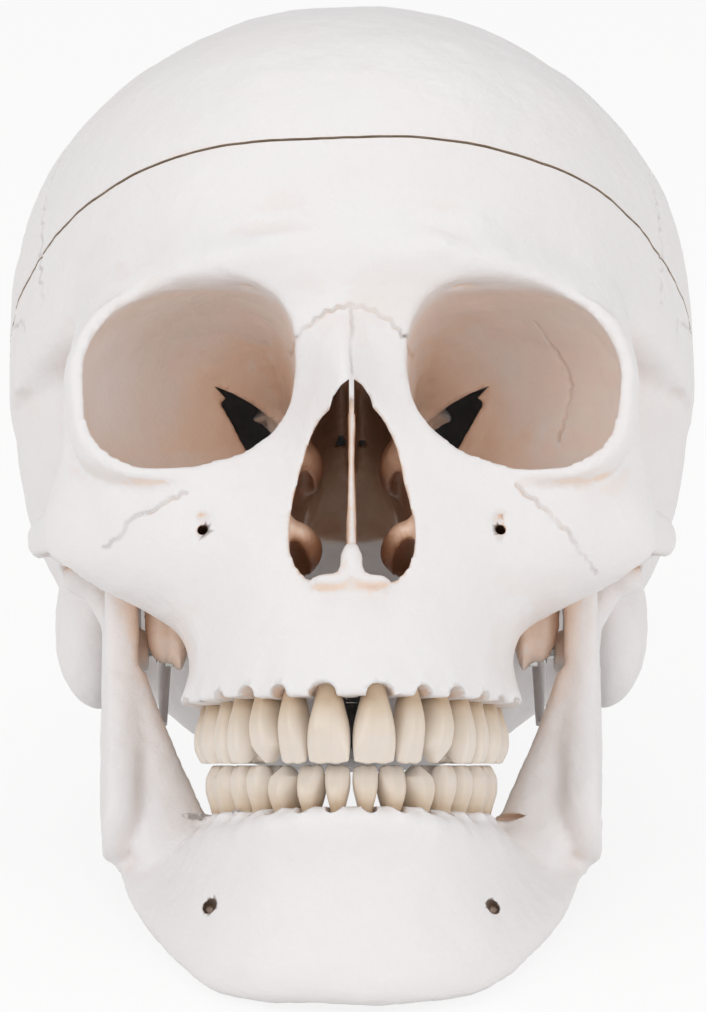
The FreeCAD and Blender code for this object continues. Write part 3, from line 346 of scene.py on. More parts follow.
def remeshed(obj, voxel):
    """One closed skin over overlapping solids."""
    modifier = obj.modifiers.new("skin", "REMESH")
    modifier.mode = "VOXEL"
    modifier.voxel_size = voxel * MM
    return apply_modifiers(obj)


def cut_with(obj, cutter, operation):
    """Cuts a closed cutter from the object, or keeps only what they share."""
    modifier = obj.modifiers.new("cut", "BOOLEAN")
    modifier.solver = "MANIFOLD"
    modifier.operation = operation
    modifier.object = cutter
    return apply_modifiers(obj)


def remove(obj):
    """Deletes a helper object."""
    bpy.data.objects.remove(obj)


def spots_of(obj):
    """A mesh's vertices in upright millimetres."""
    co = np.empty(len(obj.data.vertices) * 3, np.float32)
    obj.data.vertices.foreach_get("co", co)
    return upright(co.reshape(-1, 3))


def facing_of(obj):
    """A mesh's vertex normals in upright directions."""
    normals = np.empty(len(obj.data.vertices) * 3, np.float32)
    obj.data.vertex_normals.foreach_get("vector", normals)
    n = normals.reshape(-1, 3)
    c, s = math.cos(LEAN), math.sin(LEAN)
    return np.stack([n[:, 0], c * n[:, 1] - s * n[:, 2], s * n[:, 1] + c * n[:, 2]], 1)


def put_back(obj, spots):
    """Writes upright millimetres back to the mesh."""
    obj.data.vertices.foreach_set("co", leaned(spots).astype(np.float32).ravel())
    obj.data.update()


def gum_level(gum, spots):
    """Height of a gum edge at each spot."""
    return -gum[1] + (spots[:, 1] + gum[0]) * GUM_RISE


def upper_roots(spots):
    """Upper teeth cut down to what is sunk in the face."""
    return np.maximum(spots[:, 2], gum_level(UPPER_GUM, spots) - ROOT_COVER)


def lower_roots(spots):
    """Lower teeth cut down to what is sunk in the jaw."""
    return np.minimum(spots[:, 2], gum_level(LOWER_GUM, spots) + ROOT_COVER)


UPPER_TEETH = [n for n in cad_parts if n.startswith("upper_") and "screw" not in n]
LOWER_TEETH = [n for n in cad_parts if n.startswith("lower_") and n not in
               ("lower_jaw", "lower_spring_screws")]
RIM_FITTINGS = ["base_magnets", "cap_magnets", "cap_locating_pins"]
CASTING = ["cranial_base", "forehead_casting", "face_casting", "nasal_septum", "left_cheek_arch",
           "right_cheek_arch", "left_middle_concha", "right_middle_concha",
           "left_lower_concha", "right_lower_concha"]


def half_space(upper):
    """A block on one side of the saw cut."""
    bm = bmesh.new()
    bmesh.ops.create_cube(bm, size=BLOCK_SIZE)
    lift = BLOCK_SIZE / 2 + CUT_HALF * MM
    bmesh.ops.translate(bm, verts=bm.verts, vec=(0, 0, lift if upper else -lift))
    bmesh.ops.rotate(bm, verts=bm.verts, cent=(0, 0, 0),
                     matrix=Matrix.Rotation(-CUT_SLOPE - LEAN, 3, "X"))
    bmesh.ops.translate(bm, verts=bm.verts, vec=place(*CUT_POINT))
    return new_object("block", bm)


def picture_ray(pixel):
    """The photograph's line of sight through one pixel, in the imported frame."""
    ahead = turn(0, math.cos(CAMERA_RISE), math.sin(CAMERA_RISE)) / MM
    up = turn(0, -math.sin(CAMERA_RISE), math.cos(CAMERA_RISE)) / MM
    eye = place(0, 0, 0) - ahead * CAMERA_RANGE * MM
    aside = (pixel[0] - HEAD_PIXEL[0]) / FOCAL_PIXELS
    above = (HEAD_PIXEL[1] - pixel[1]) / FOCAL_PIXELS
    return eye, (ahead + Vector((1, 0, 0)) * aside + up * above).normalized()


def seen_at(tree, pixel):
    """Where the line of sight through a pixel first meets the skin, in upright millimetres."""
    hit = tree.ray_cast(*picture_ray(pixel))[0]
    return upright([hit])[0]


def wrapped(tree, spots):
    """Guide places outside the vault, drawn in to its outer skin."""
    found = []
    middle = place(*VAULT_MIDDLE)
    for spot in spots:
        start = middle + (place(*spot) - middle) * 1.5
        hit = tree.ray_cast(start, (middle - start).normalized())[0]
        found.append(upright([hit])[0])
    return found


def resampled(spots, step):
    """A line's places at even steps."""
    spots = np.asarray(spots, float)
    lengths = np.linalg.norm(np.diff(spots, axis=0), axis=1)
    walked = np.concatenate([[0], np.cumsum(lengths)])
    marks = np.arange(0, walked[-1] + step / 2, step)
    return np.stack([np.interp(marks, walked, spots[:, k]) for k in range(3)], 1)


def zigzag(tree, spots, sway, seed, step):
    """A suture: the line swings to both sides on the skin, unevenly."""
    chance = random.Random(seed)
    line = resampled(spots, step)
    swung = []
    side = 1
    for i, spot in enumerate(line):
        along = line[min(i + 1, len(line) - 1)] - line[max(i - 1, 0)]
        hit, normal = tree.find_nearest(place(*spot))[:2]
        here = upright([hit])[0]
        face = upright([hit + normal * MM])[0] - here
        across = np.cross(along, face)
        across = across / max(np.linalg.norm(across), 1e-9)
        side = -side if chance.random() < 0.8 else side
        moved = here + across * sway * side * chance.uniform(0.25, 1.0)
        swung.append(upright([tree.find_nearest(place(*moved))[0]])[0])
    return np.array(swung)


def away_from(spots, line, reach):
    """Distance of each spot from a line, and infinity past the reach."""
    found = np.full(len(spots), np.inf)
    low, high = line.min(0) - reach, line.max(0) + reach
    near = np.nonzero(((spots > low) & (spots < high)).all(1))[0]
    inside = spots[near]
    best = np.full(len(near), np.inf)
    for a, b in zip(line[:-1], line[1:]):
        step = b - a
        part = np.clip((inside - a) @ step / max(step @ step, 1e-9), 0, 1)
        best = np.minimum(best, np.linalg.norm(inside - a - part[:, None] * step, axis=1))
    found[near] = np.where(best < reach, best, np.inf)
    return found


def nearest_line(spots, lines, reach):
    """Distance of each spot from the nearest of several lines."""
    return np.min([away_from(spots, line, reach) for line in lines], axis=0)


def refined(obj, lines, reach):
    """Splits the skin's edges near the lines, so that a narrow groove fits."""
    close = nearest_line(spots_of(obj), lines, reach) < reach
    bm = bmesh.new()
    bm.from_mesh(obj.data)
    bm.verts.ensure_lookup_table()
    edges = [e for e in bm.edges if close[e.verts[0].index] and close[e.verts[1].index]]
    bmesh.ops.subdivide_edges(bm, edges=edges, cuts=2, use_grid_fill=True)
    bmesh.ops.triangulate(bm, faces=[f for f in bm.faces if len(f.verts) > 4])
    bm.to_mesh(obj.data)
    bm.free()


def eased(obj, weights, times):
    """Evens out the skin, by up to half of each step, where the weights say."""
    mesh = obj.data
    pairs = np.empty(len(mesh.edges) * 2, np.int32)
    mesh.edges.foreach_get("vertices", pairs)
    first, second = pairs.reshape(-1, 2).T
    spots = spots_of(obj)
    count = np.bincount(first, minlength=len(spots)) + np.bincount(second, minlength=len(spots))
    for _ in range(times):
        total = np.stack([np.bincount(first, spots[second, k], len(spots))
                          + np.bincount(second, spots[first, k], len(spots)) for k in range(3)], 1)
        mean = total / np.maximum(count, 1)[:, None]
        spots = spots + (mean - spots) * (0.5 * weights)[:, None]
    put_back(obj, spots)


def both_ways(spot):
    """A place on the left side and its mirror image, or one place on the middle line."""
    left = np.array(spot, float)
    return [left] if left[0] == 0 else [left, left * (-1, 1, 1)]


def blobs(spots, rows):
    """How far each spot is inside soft round regions, each given as x, y, z and radius."""
    found = np.zeros(len(spots))
    for row in rows:
        for middle in both_ways(row[:3]):
            apart = np.linalg.norm(spots - middle, axis=1) / row[3]
            found = np.maximum(found, np.clip(1.6 - 1.6 * apart, 0, 1))
    return found


def roughened(obj, seed):
    """The slight unevenness of a cast from real bone."""
    spots = spots_of(obj)
    facing = facing_of(obj)
    shift = Vector((seed, seed, seed))
    amount = np.array([sum(weight * noise.noise(Vector(p) * pitch + shift * moves)
                           for weight, pitch, moves in CAST_WAVES) for p in spots])
    put_back(obj, spots + facing * (CAST_DEPTH * (amount - CAST_SINK))[:, None])


def grooved(obj, lines, width, depth):
    """Presses narrow grooves into the skin along the lines."""
    spots = spots_of(obj)
    apart = nearest_line(spots, lines, 3 * width)
    amount = depth * np.exp(-(apart / width) ** 2)
    put_back(obj, spots - facing_of(obj) * amount[:, None])


def ellipsoid(bm, middle, across, outward, sizes):
    """Adds an ellipsoid with two given axes and half sizes in upright millimetres."""
    across, outward = np.array(across), np.array(outward)
    upward = np.cross(across, outward)
    made = bmesh.ops.create_icosphere(bm, subdivisions=3, radius=1.0)["verts"]
    unit = np.array([v.co for v in made])
    spots = middle + unit[:, :1] * across * sizes[0] + unit[:, 1:2] * outward * sizes[1] \
        + unit[:, 2:] * upward * sizes[2]
    for vert, spot in zip(made, leaned(spots)):
        vert.co = spot


def tooth_plan(name):
    """A tooth's middle at the gum, its outward direction and its half sizes there."""
    upper = name.startswith("upper_")
    front, half, length = UPPER_ARCH if upper else LOWER_ARCH
    spots = upright([v.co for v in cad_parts[name].data.vertices])
    gap = spots[:, 2] - gum_level(UPPER_GUM if upper else LOWER_GUM, spots)
    near = spots[np.argsort(abs(gap))[:NECK_SPOTS]]
    middle = (near.min(0) + near.max(0)) / 2
    outward = np.array([middle[0] / half ** 2, (middle[1] + front - length) / length ** 2, 0.0])
    outward /= np.linalg.norm(outward)
    across = np.array([-outward[1], outward[0], 0.0])
    wide = abs((spots - middle) @ across).max()
    deep = abs((spots - middle) @ outward).max()
    crown = abs(gap[gap < 0].min()) if upper else gap[gap > 0].max()
    return middle, outward, across, wide, deep, crown


def gum_arches(obj, teeth):
    """Cuts the arched edge of the bone round each tooth's neck, every other tooth at a time."""
    for turn_of in (0, 1):
        bm = bmesh.new()
        for name in teeth:
            middle, outward, across, wide, deep, _ = tooth_plan(name)
            order = TOOTH_ORDER.index(name.split("_", 2)[2])
            sizes = (wide * ARCH_SHARE, deep + ARCH_REACH, GUM_RISES[order])
            if (order + ("right" in name)) % 2 == turn_of:
                ellipsoid(bm, middle, across, outward, sizes)
        bmesh.ops.recalc_face_normals(bm, faces=bm.faces)
        cutter = new_object("arches", bm)
        cut_with(obj, cutter, "DIFFERENCE")
        remove(cutter)


def root_ridges(obj, teeth):
    """Raises a soft ridge over each root, on the outer face of the bone."""
    spots, facing = spots_of(obj), facing_of(obj)
    total = np.zeros(len(spots))
    before, rise = RIDGE_START
    for name in teeth:
        middle, outward, across, wide, _, _ = tooth_plan(name)
        away = spots - middle
        side = away @ across / (wide * RIDGE_SHARE)
        past = away[:, 2] * (1 if name.startswith("upper_") else -1)
        lasts = CANINE_RIDGE if "canine" in name else OTHER_RIDGE
        fade = np.clip(1 - past / lasts, 0, 1) * np.clip((past + before) / rise, 0, 1)
        ahead = np.clip((away @ outward) / RIDGE_FRONT, 0, 1) * np.clip(facing @ outward * 2, 0, 1)
        total = np.maximum(total, np.exp(-side ** 2) * fade * fade * ahead)
    put_back(obj, spots + facing * (RIDGE_HEIGHT * total)[:, None])


def pitted(obj, rows):
    """Opens small round canals: place, half width and depth."""
    bm = bmesh.new()
    for x, y, z, radius, depth in rows:
        for middle in both_ways((x, y, z)):
            ellipsoid(bm, middle, (1, 0, 0), (0, 1, 0), (radius, depth, radius))
    bmesh.ops.recalc_face_normals(bm, faces=bm.faces)
    cutter = new_object("canals", bm)
    cut_with(obj, cutter, "DIFFERENCE")
    remove(cutter)


def sighted(pixel, depth):
    """Where the line of sight through a pixel reaches a depth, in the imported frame."""
    eye, way = picture_ray(pixel)
    start = upright([eye])[0]
    step = upright([eye + way])[0] - start
    return Vector(leaned([start + step * (depth - start[1]) / step[1]])[0])


def slit(obj, pixels, near, far):
    """Cuts an opening with a given outline in the photograph, between two depths."""
    bm = bmesh.new()
    outline = [bm.verts.new(sighted(pixel, near)) for pixel in pixels]
    face = bm.faces.new(outline)
    made = bmesh.ops.extrude_face_region(bm, geom=[face], use_keep_orig=True)["geom"]
    moved = [v for v in made if isinstance(v, bmesh.types.BMVert)]
    ends = {tuple(sighted(pixel, near)): sighted(pixel, far) for pixel in pixels}
    for vert in moved:
        start = min(ends, key=lambda end: (Vector(end) - vert.co).length)
        vert.co = ends[start]
    bmesh.ops.triangulate(bm, faces=bm.faces)
    bmesh.ops.recalc_face_normals(bm, faces=bm.faces)
    cutter = new_object("slit", bm)
    cut_with(obj, cutter, "DIFFERENCE")
    remove(cutter)


def thinned(obj, triangles):
    """Fewer triangles where the skin is plain."""
    count = sum(len(p.vertices) - 2 for p in obj.data.polygons)
    if count > triangles:
        modifier = obj.modifiers.new("thin", "DECIMATE")
        modifier.ratio = triangles / count
        apply_modifiers(obj)
    return obj


def written(obj, name, values):
    """Stores one number for each vertex."""
    layer = obj.data.attributes.new(name, "FLOAT", "POINT")
    layer.data.foreach_set("value", np.asarray(values, np.float32))


def hollow_of(obj, tree):
    """How much nearby bone closes round each vertex, from 0 in the open to 1."""
    chance = random.Random(5)
    ways = []
    for k in range(HOLLOW_RAYS):
        height = (k + 0.5) / HOLLOW_RAYS
        spin = k * GOLDEN_TURN + chance.random() * 0.3
        flat = math.sqrt(1 - height)
        ways.append((flat * math.cos(spin), flat * math.sin(spin), math.sqrt(height)))
    found = []
    reach = HOLLOW_REACH * MM
    lift = HOLLOW_START * MM
    for vert in obj.data.vertices:
        normal = vert.normal
        side = normal.orthogonal().normalized()
        other = normal.cross(side)
        start = vert.co + normal * lift
        closed = 0.0
        for a, b, c in ways:
            far = tree.ray_cast(start, side * a + other * b + normal * c, reach)[3]
            closed += 0.0 if far is None else 1 - far / reach
        found.append(closed / HOLLOW_RAYS)
    return np.array(found)


def mirrored(spots):
    """The same line on the right side."""
    return [(-x, y, z) for x, y, z in spots]


def mirrored_pixels(pixels):
    """The same outline on the other side of the photographed face."""
    return [(2 * HEAD_PIXEL[0] - x, y) for x, y in pixels]


def sutures(tree):
    """Every seam between the cast bones, as lines on the skin."""
    lines = [zigzag(tree, wrapped(tree, MIDDLE_LINE), MIDDLE_SWAY, 1, VAULT_STEP)]
    for i, (guide, sway) in enumerate(VAULT_SWAYS):
        for seed, side in ((10 + i, guide), (20 + i, mirrored(guide))):
            lines.append(zigzag(tree, wrapped(tree, side), sway, seed, VAULT_STEP))
    for i, (pixels, sway) in enumerate(FACE_SWAYS):
        line = [seen_at(tree, pixel) for pixel in pixels]
        lines.append(zigzag(tree, line, sway, 30 + i, FACE_STEP))
    return lines


def skin_tree(obj):
    """A search tree over one object's skin."""
    return BVHTree.FromObject(obj, bpy.context.evaluated_depsgraph_get())


def knobbed(obj, rows):
    """Adds small rounded knobs, to be taken into the skin."""
    bm = bmesh.new()
    bm.from_mesh(obj.data)
    for row in rows:
        for middle in both_ways(row[:3]):
            ellipsoid(bm, middle, (1, 0, 0), (0, 1, 0), row[3:])
    bm.to_mesh(obj.data)
    bm.free()


def skull_and_cap():
    """The skull casting and its lifted cap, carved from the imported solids."""
    whole = copied(CASTING + RIM_FITTINGS + ["skull_cap"], "skull_bone", UPPER_TEETH, upper_roots)
    knobbed(whole, KNOBS)
    remeshed(whole, BONE_VOXEL)
    spots = spots_of(whole)
    eased(whole, blobs(spots, EASED_REGIONS), CREASE_ROUNDS)
    eased(whole, np.full(len(spots), PLAIN_EASE), SKULL_ROUNDS)
    root_ridges(whole, UPPER_TEETH)
    roughened(whole, SKULL_SEED)
    lines = sutures(skin_tree(whole))
    refined(whole, lines, GROOVE_REACH)
    grooved(whole, lines, GROOVE_WIDTH, GROOVE_DEPTH)
    gum_arches(whole, UPPER_TEETH)
    pitted(whole, FACE_CANALS)
    for pixels, depths in ((SOCKET_SLIT, SOCKET_SLIT_DEPTHS), (NOSE_TOP, NOSE_TOP_DEPTHS)):
        slit(whole, pixels, *depths)
        slit(whole, mirrored_pixels(pixels), *depths)
    cap = whole.copy()
    cap.data = whole.data.copy()
    cap.name = "cap_bone"
    bpy.context.scene.collection.objects.link(cap)
    fittings = copied(RIM_FITTINGS, "fittings")
    put_back(fittings, spots_of(fittings) + facing_of(fittings) * FITTING_ROOM)
    for obj, upper in ((cap, True), (whole, False)):
        block = half_space(upper)
        cut_with(obj, block, "INTERSECT")
        remove(block)
        cut_with(obj, fittings, "DIFFERENCE")
    remove(fittings)
    thinned(whole, BONE_TRIANGLES)
    thinned(cap, CAP_TRIANGLES)
    return whole, cap, lines


def carved_jaw():
    """The lower jaw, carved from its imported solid."""
    jaw = remeshed(copied(["lower_jaw"], "jaw_bone", LOWER_TEETH, lower_roots), JAW_VOXEL)
    eased(jaw, np.full(len(jaw.data.vertices), PLAIN_EASE), JAW_ROUNDS)
    root_ridges(jaw, LOWER_TEETH)
    roughened(jaw, JAW_SEED)
    gum_arches(jaw, LOWER_TEETH)
    pitted(jaw, JAW_CANALS)
    return thinned(jaw, JAW_TRIANGLES)


def seam_marks(spots, lines):
    """Where the seams show dark, stronger in some stretches than in others."""
    apart = nearest_line(spots, lines, SEAM_REACH)
    mean, swing = SEAM_TONE
    patchy = [mean + swing * noise.noise(Vector(p) * SEAM_PATCHES) if d < SEAM_REACH else 0.0
              for p, d in zip(spots, apart)]
    return np.clip(patchy, SEAM_LEAST, 1) * np.exp(-(apart / SEAM_WIDTH) ** 2)


def canal_shading(spots, facing, canals):
    """Painted shade: where the inside of a canal shows dark."""
    dark = np.zeros(len(spots))
    for x, y, z, radius, _ in canals:
        for middle in both_ways((x, y, z)):
            apart = np.linalg.norm((spots - middle)[:, [0, 2]], axis=1) / radius
            inside = ((apart < CANAL_SPAN) & (abs(spots[:, 1] - y) < CANAL_DEPTH)
                      & (facing[:, 1] > CANAL_FACING))
            dark = np.maximum(dark, inside * CANAL_SHADE)
    return dark


def socket_marks(spots, facing):
    """How far each spot is on the inner wall of an eye socket, where its painted shade goes."""
    found = np.zeros(len(spots))
    rim, fade = SOCKET_RIM
    for middle in both_ways(SOCKET_MIDDLE):
        inward = middle - spots
        apart = np.linalg.norm(inward, axis=1)
        turned = np.sum(inward * facing, axis=1) / np.maximum(apart, 1e-6)
        inside = np.clip((SOCKET_RADIUS - apart) / SOCKET_EDGE, 0, 1)
        inside = inside * np.clip(turned * 2.5 - 0.5, 0, 1)
        found = np.maximum(found, inside * np.clip((spots[:, 1] - rim) / fade, 0, 1))
    return found


def marked(obj, lines, canals, tree):
    """Writes the painted shade of the hollows, the dark seams and the painted shade inside the
    canals.
    """
    spots, facing = spots_of(obj), facing_of(obj)
    seam = seam_marks(spots, lines) if lines else np.zeros(len(spots))
    # Painted shade inside the canals, joined with the seams' dark line
    dark = canal_shading(spots, facing, canals)
    written(obj, "seam_and_canal_shade", np.clip(np.maximum(seam, dark), 0, 1))
    # Painted shade of the hollows: full in the eye sockets and nose, fainter elsewhere
    warm = FAINT_SHADE_SHARE + (1 - FAINT_SHADE_SHARE) * blobs(spots, FULL_SHADE_REGIONS)
    socket = SOCKET_SHADE * socket_marks(spots, facing)
    written(obj, "hollow_shade", np.maximum(hollow_of(obj, tree) * warm, socket))


def sawn(obj, material):
    """Gives the faces on the saw cut the sawn material."""
    obj.data.materials.append(material)
    normal = turn(0, math.sin(CUT_SLOPE), math.cos(CUT_SLOPE)).normalized()
    level = place(*CUT_POINT) @ normal
    reach = (CUT_HALF + SAWN_REACH) * MM
    for face in obj.data.polygons:
        near = abs(face.center @ normal - level) < reach
        if near and abs(face.normal @ normal) > SAWN_ALIGNED:
            face.material_index = 1
            face.use_smooth = False


def worn(name, height, side, ahead):
    """How deep a tooth's biting end is cut in; side and ahead are shares of its half sizes."""
    top = np.clip((height - EDGE_START) / EDGE_RUN, 0, 1)
    if "molar" in name:
        long_share, cross_share = FISSURE_SHARES
        cross = np.exp(-(ahead / long_share) ** 2)
        if "premolar" not in name:
            cross = np.maximum(cross, np.exp(-(side / cross_share) ** 2))
        rim = np.clip(np.maximum(abs(side), abs(ahead)) * 3 - 2, 0, 1)
        return top * (FISSURE_DEPTH * cross + CUSP_RIM * rim)
    if "canine" in name:
        depth, power = CANINE_POINT
        return top * depth * abs(side) ** power
    corner, power = INCISOR_CORNER
    depth, waves = INCISOR_WAVES
    return top * (corner * abs(side) ** power + depth * np.cos(side * waves * math.pi))


def tooth_look(name, material):
    """One tooth: waisted at the neck, with cusps or a bitten edge, and fine upright furrows."""
    middle, outward, across, wide, deep, crown = tooth_plan(name)
    obj = remeshed(copied([name], name + "_look"), TOOTH_VOXEL)
    spots = spots_of(obj)
    upper = name.startswith("upper_")
    toward = -1 if upper else 1
    gap = (spots[:, 2] - gum_level(UPPER_GUM if upper else LOWER_GUM, spots)) * toward
    height = gap / crown
    away = spots - middle
    side, ahead = away @ across, away @ outward
    slim = np.clip(1 - height / NECK_FADE, 0, 1)
    slim = slim * slim * (3 - 2 * slim)
    moved = (-np.outer(side * NECK_SLIM[0] * slim, across)
             - np.outer(ahead * NECK_SLIM[1] * slim, outward))
    moved[:, 2] -= toward * worn(name, height, side / wide, ahead / deep)
    depth, waves = FURROWS
    furrow = depth * np.cos(side / wide * waves * math.pi) * np.clip(height * 3, 0, 1)
    front = np.clip(ahead / deep * 2, 0, 1)
    moved -= np.outer(furrow * front + FRONT_TRIM, outward) * front[:, None]
    put_back(obj, spots + moved)
    written(obj, "neck", np.clip(NECK_TINT[0] - height * NECK_TINT[1], 0, 1))
    obj.data.materials.clear()
    obj.data.materials.append(material)
    return obj


def tree_of(name):
    """A new material and its empty node tree."""
    material = bpy.data.materials.new(name)
    material.use_nodes = True
    material.node_tree.nodes.clear()
    return material, material.node_tree


def add(tree, kind, inputs=None, stops=(), **settings):
    """Adds a shader node with its settings and links; stops are places and hex colours."""
    node = tree.nodes.new(kind)
    for name, value in settings.items():
        setattr(node, name, value)
    for name, value in (inputs or {}).items():
        if isinstance(value, bpy.types.NodeSocket):
            tree.links.new(value, node.inputs[name])
        else:
            node.inputs[name].default_value = value
    if stops:
        for _ in stops[2:]:
            node.color_ramp.elements.new(0.5)
        for element, (spot, code) in zip(node.color_ramp.elements, stops):
            element.position = spot
            element.color = linear(code)
    return node


def cast_bone():
    """Cast PVC, matt from the mould: cool white outside, with painted shade, warm and darker, in
    the hollows, brown seams and painted shade in the canals.
    """
    material, tree = tree_of("cast_pvc")
    spot = add(tree, "ShaderNodeTexCoord").outputs["Object"]
    hollow_shade = add(tree, "ShaderNodeAttribute", attribute_name="hollow_shade").outputs["Fac"]
    seam_and_canal_shade = add(tree, "ShaderNodeAttribute", attribute_name="seam_and_canal_shade").outputs["Fac"]
    cloud = add(tree, "ShaderNodeTexNoise", {"Vector": spot, "Scale": every(22), "Detail": 4.0})
    uneven = add(tree, "ShaderNodeMath", {0: cloud.outputs["Fac"], 1: 0.16, 2: -0.08},
                 operation="MULTIPLY_ADD").outputs[0]
    depth = add(tree, "ShaderNodeMath", {0: hollow_shade, 1: uneven}, operation="ADD").outputs[0]
    # The ramp paints shade, warm and darker, into the hollows; the cloud adds random tone
    skin = add(tree, "ShaderNodeValToRGB", {"Fac": depth},
               stops=[(0.0, "#F0EDED"), (0.10, "#EFE8E5"), (0.22, "#F3DCCB"),
                      (0.44, "#EBCAB1"), (0.70, "#D2AC90"), (0.95, "#A07C62")])
    # Brown along the seams, and painted shade inside the canals
    mixed = add(tree, "ShaderNodeMix", {0: seam_and_canal_shade, 6: skin.outputs["Color"],
                                        7: linear("#5A4636")}, data_type="RGBA")
    grain = add(tree, "ShaderNodeTexNoise", {"Vector": spot, "Scale": every(1.4), "Detail": 5.0,
                                             "Roughness": 0.65})
    waves = add(tree, "ShaderNodeTexNoise", {"Vector": spot, "Scale": every(7.5), "Detail": 4.0})
    first = add(tree, "ShaderNodeBump", {"Height": waves.outputs["Fac"], "Distance": 0.0012,
                                         "Strength": 0.55})
    second = add(tree, "ShaderNodeBump", {"Height": grain.outputs["Fac"], "Distance": 0.0003,
                                          "Strength": 0.5, "Normal": first.outputs[0]})
    rough = add(tree, "ShaderNodeMapRange", {0: waves.outputs["Fac"], 3: 0.42, 4: 0.56})
    shader = add(tree, "ShaderNodeBsdfPrincipled",
                 {"Base Color": mixed.outputs[2], "Roughness": rough.outputs[0], "IOR": 1.52,
                  "Normal": second.outputs[0]})
    add(tree, "ShaderNodeOutputMaterial", {"Surface": shader.outputs[0]})
    return material


def sawn_bone():
    """The saw cut's face: the same PVC, a little darker and with saw marks across."""
    material, tree = tree_of("sawn_pvc")
    spot = add(tree, "ShaderNodeTexCoord").outputs["Object"]
    marks = add(tree, "ShaderNodeTexNoise", {"Vector": spot, "Scale": every(2.4), "Detail": 2.0})
    colour = add(tree, "ShaderNodeValToRGB", {"Fac": marks.outputs["Fac"]},
                 stops=[(0.3, "#B9A48E"), (0.7, "#D3C3B2")])
    bump = add(tree, "ShaderNodeBump", {"Height": marks.outputs["Fac"], "Distance": 0.0002,
                                        "Strength": 0.4})
    shader = add(tree, "ShaderNodeBsdfPrincipled",
                 {"Base Color": colour.outputs["Color"], "Roughness": 0.62, "IOR": 1.52,
                  "Normal": bump.outputs[0]})
    add(tree, "ShaderNodeOutputMaterial", {"Surface": shader.outputs[0]})
    return material


def ivory_tooth():
    """Cast acrylic, polished: warm ivory, yellower towards the neck, with a wet-looking gloss."""
    material, tree = tree_of("polished_acrylic")
    spot = add(tree, "ShaderNodeTexCoord").outputs["Object"]
    neck = add(tree, "ShaderNodeAttribute", attribute_name="neck").outputs["Fac"]
    cloud = add(tree, "ShaderNodeTexNoise", {"Vector": spot, "Scale": every(3.8), "Detail": 3.0})
    uneven = add(tree, "ShaderNodeMath", {0: cloud.outputs["Fac"], 1: 0.3, 2: -0.15},
                 operation="MULTIPLY_ADD").outputs[0]
    warm = add(tree, "ShaderNodeMath", {0: neck, 1: uneven}, operation="ADD").outputs[0]
    colour = add(tree, "ShaderNodeValToRGB", {"Fac": warm},
                 stops=[(0.0, "#E8DDD1"), (0.45, "#E3D5C5"), (0.8, "#DAC7B1"),
                        (1.0, "#C8B095")])
    bump = add(tree, "ShaderNodeBump", {"Height": cloud.outputs["Fac"], "Distance": 0.0002,
                                        "Strength": 0.25})
    shader = add(tree, "ShaderNodeBsdfPrincipled",
                 {"Base Color": colour.outputs["Color"], "Roughness": 0.28, "IOR": 1.49,
                  "Subsurface Weight": 0.12, "Subsurface Radius": (0.9, 0.6, 0.35),
                  "Subsurface Scale": 0.0008, "Normal": bump.outputs[0]})
    add(tree, "ShaderNodeOutputMaterial", {"Surface": shader.outputs[0]})
    return material


def metal(name, code, roughness, mark):
    """Bare metal with a fine scratched or drawn surface."""
    material, tree = tree_of(name)
    spot = add(tree, "ShaderNodeTexCoord").outputs["Object"]
    marks = add(tree, "ShaderNodeTexNoise", {"Vector": spot, "Scale": every(mark), "Detail": 3.0})
    tone = add(tree, "ShaderNodeValToRGB", {"Fac": marks.outputs["Fac"]},
               stops=[(0.35, code), (0.65, "#D8D8D6")])
    rough = add(tree, "ShaderNodeMapRange", {0: marks.outputs["Fac"], 3: roughness * 0.8,
                                             4: roughness * 1.3})
    shader = add(tree, "ShaderNodeBsdfPrincipled",
                 {"Base Color": tone.outputs["Color"], "Metallic": 1.0,
                  "Roughness": rough.outputs[0]})
    add(tree, "ShaderNodeOutputMaterial", {"Surface": shader.outputs[0]})
    return material


def white_board(name):
    """Matt white card, shown to the camera and in reflections as a clean white ground."""
    material, tree = tree_of(name)
    card = add(tree, "ShaderNodeBsdfDiffuse", {"Color": linear("#F2F1F0")})
    glow = add(tree, "ShaderNodeEmission", {"Color": linear("#FFFFFF"), "Strength": 1.0})
    lit = add(tree, "ShaderNodeMixShader", {0: GROUND_GLOW, 1: card.outputs[0],
                                            2: glow.outputs[0]})
    path = add(tree, "ShaderNodeLightPath")
    seen = add(tree, "ShaderNodeMath", {0: path.outputs["Is Camera Ray"],
                                        1: path.outputs["Is Glossy Ray"]}, operation="MAXIMUM")
    mixed = add(tree, "ShaderNodeMixShader", {0: seen.outputs[0], 1: card.outputs[0],
                                              2: lit.outputs[0]})
    add(tree, "ShaderNodeOutputMaterial", {"Surface": mixed.outputs[0]})
    return material


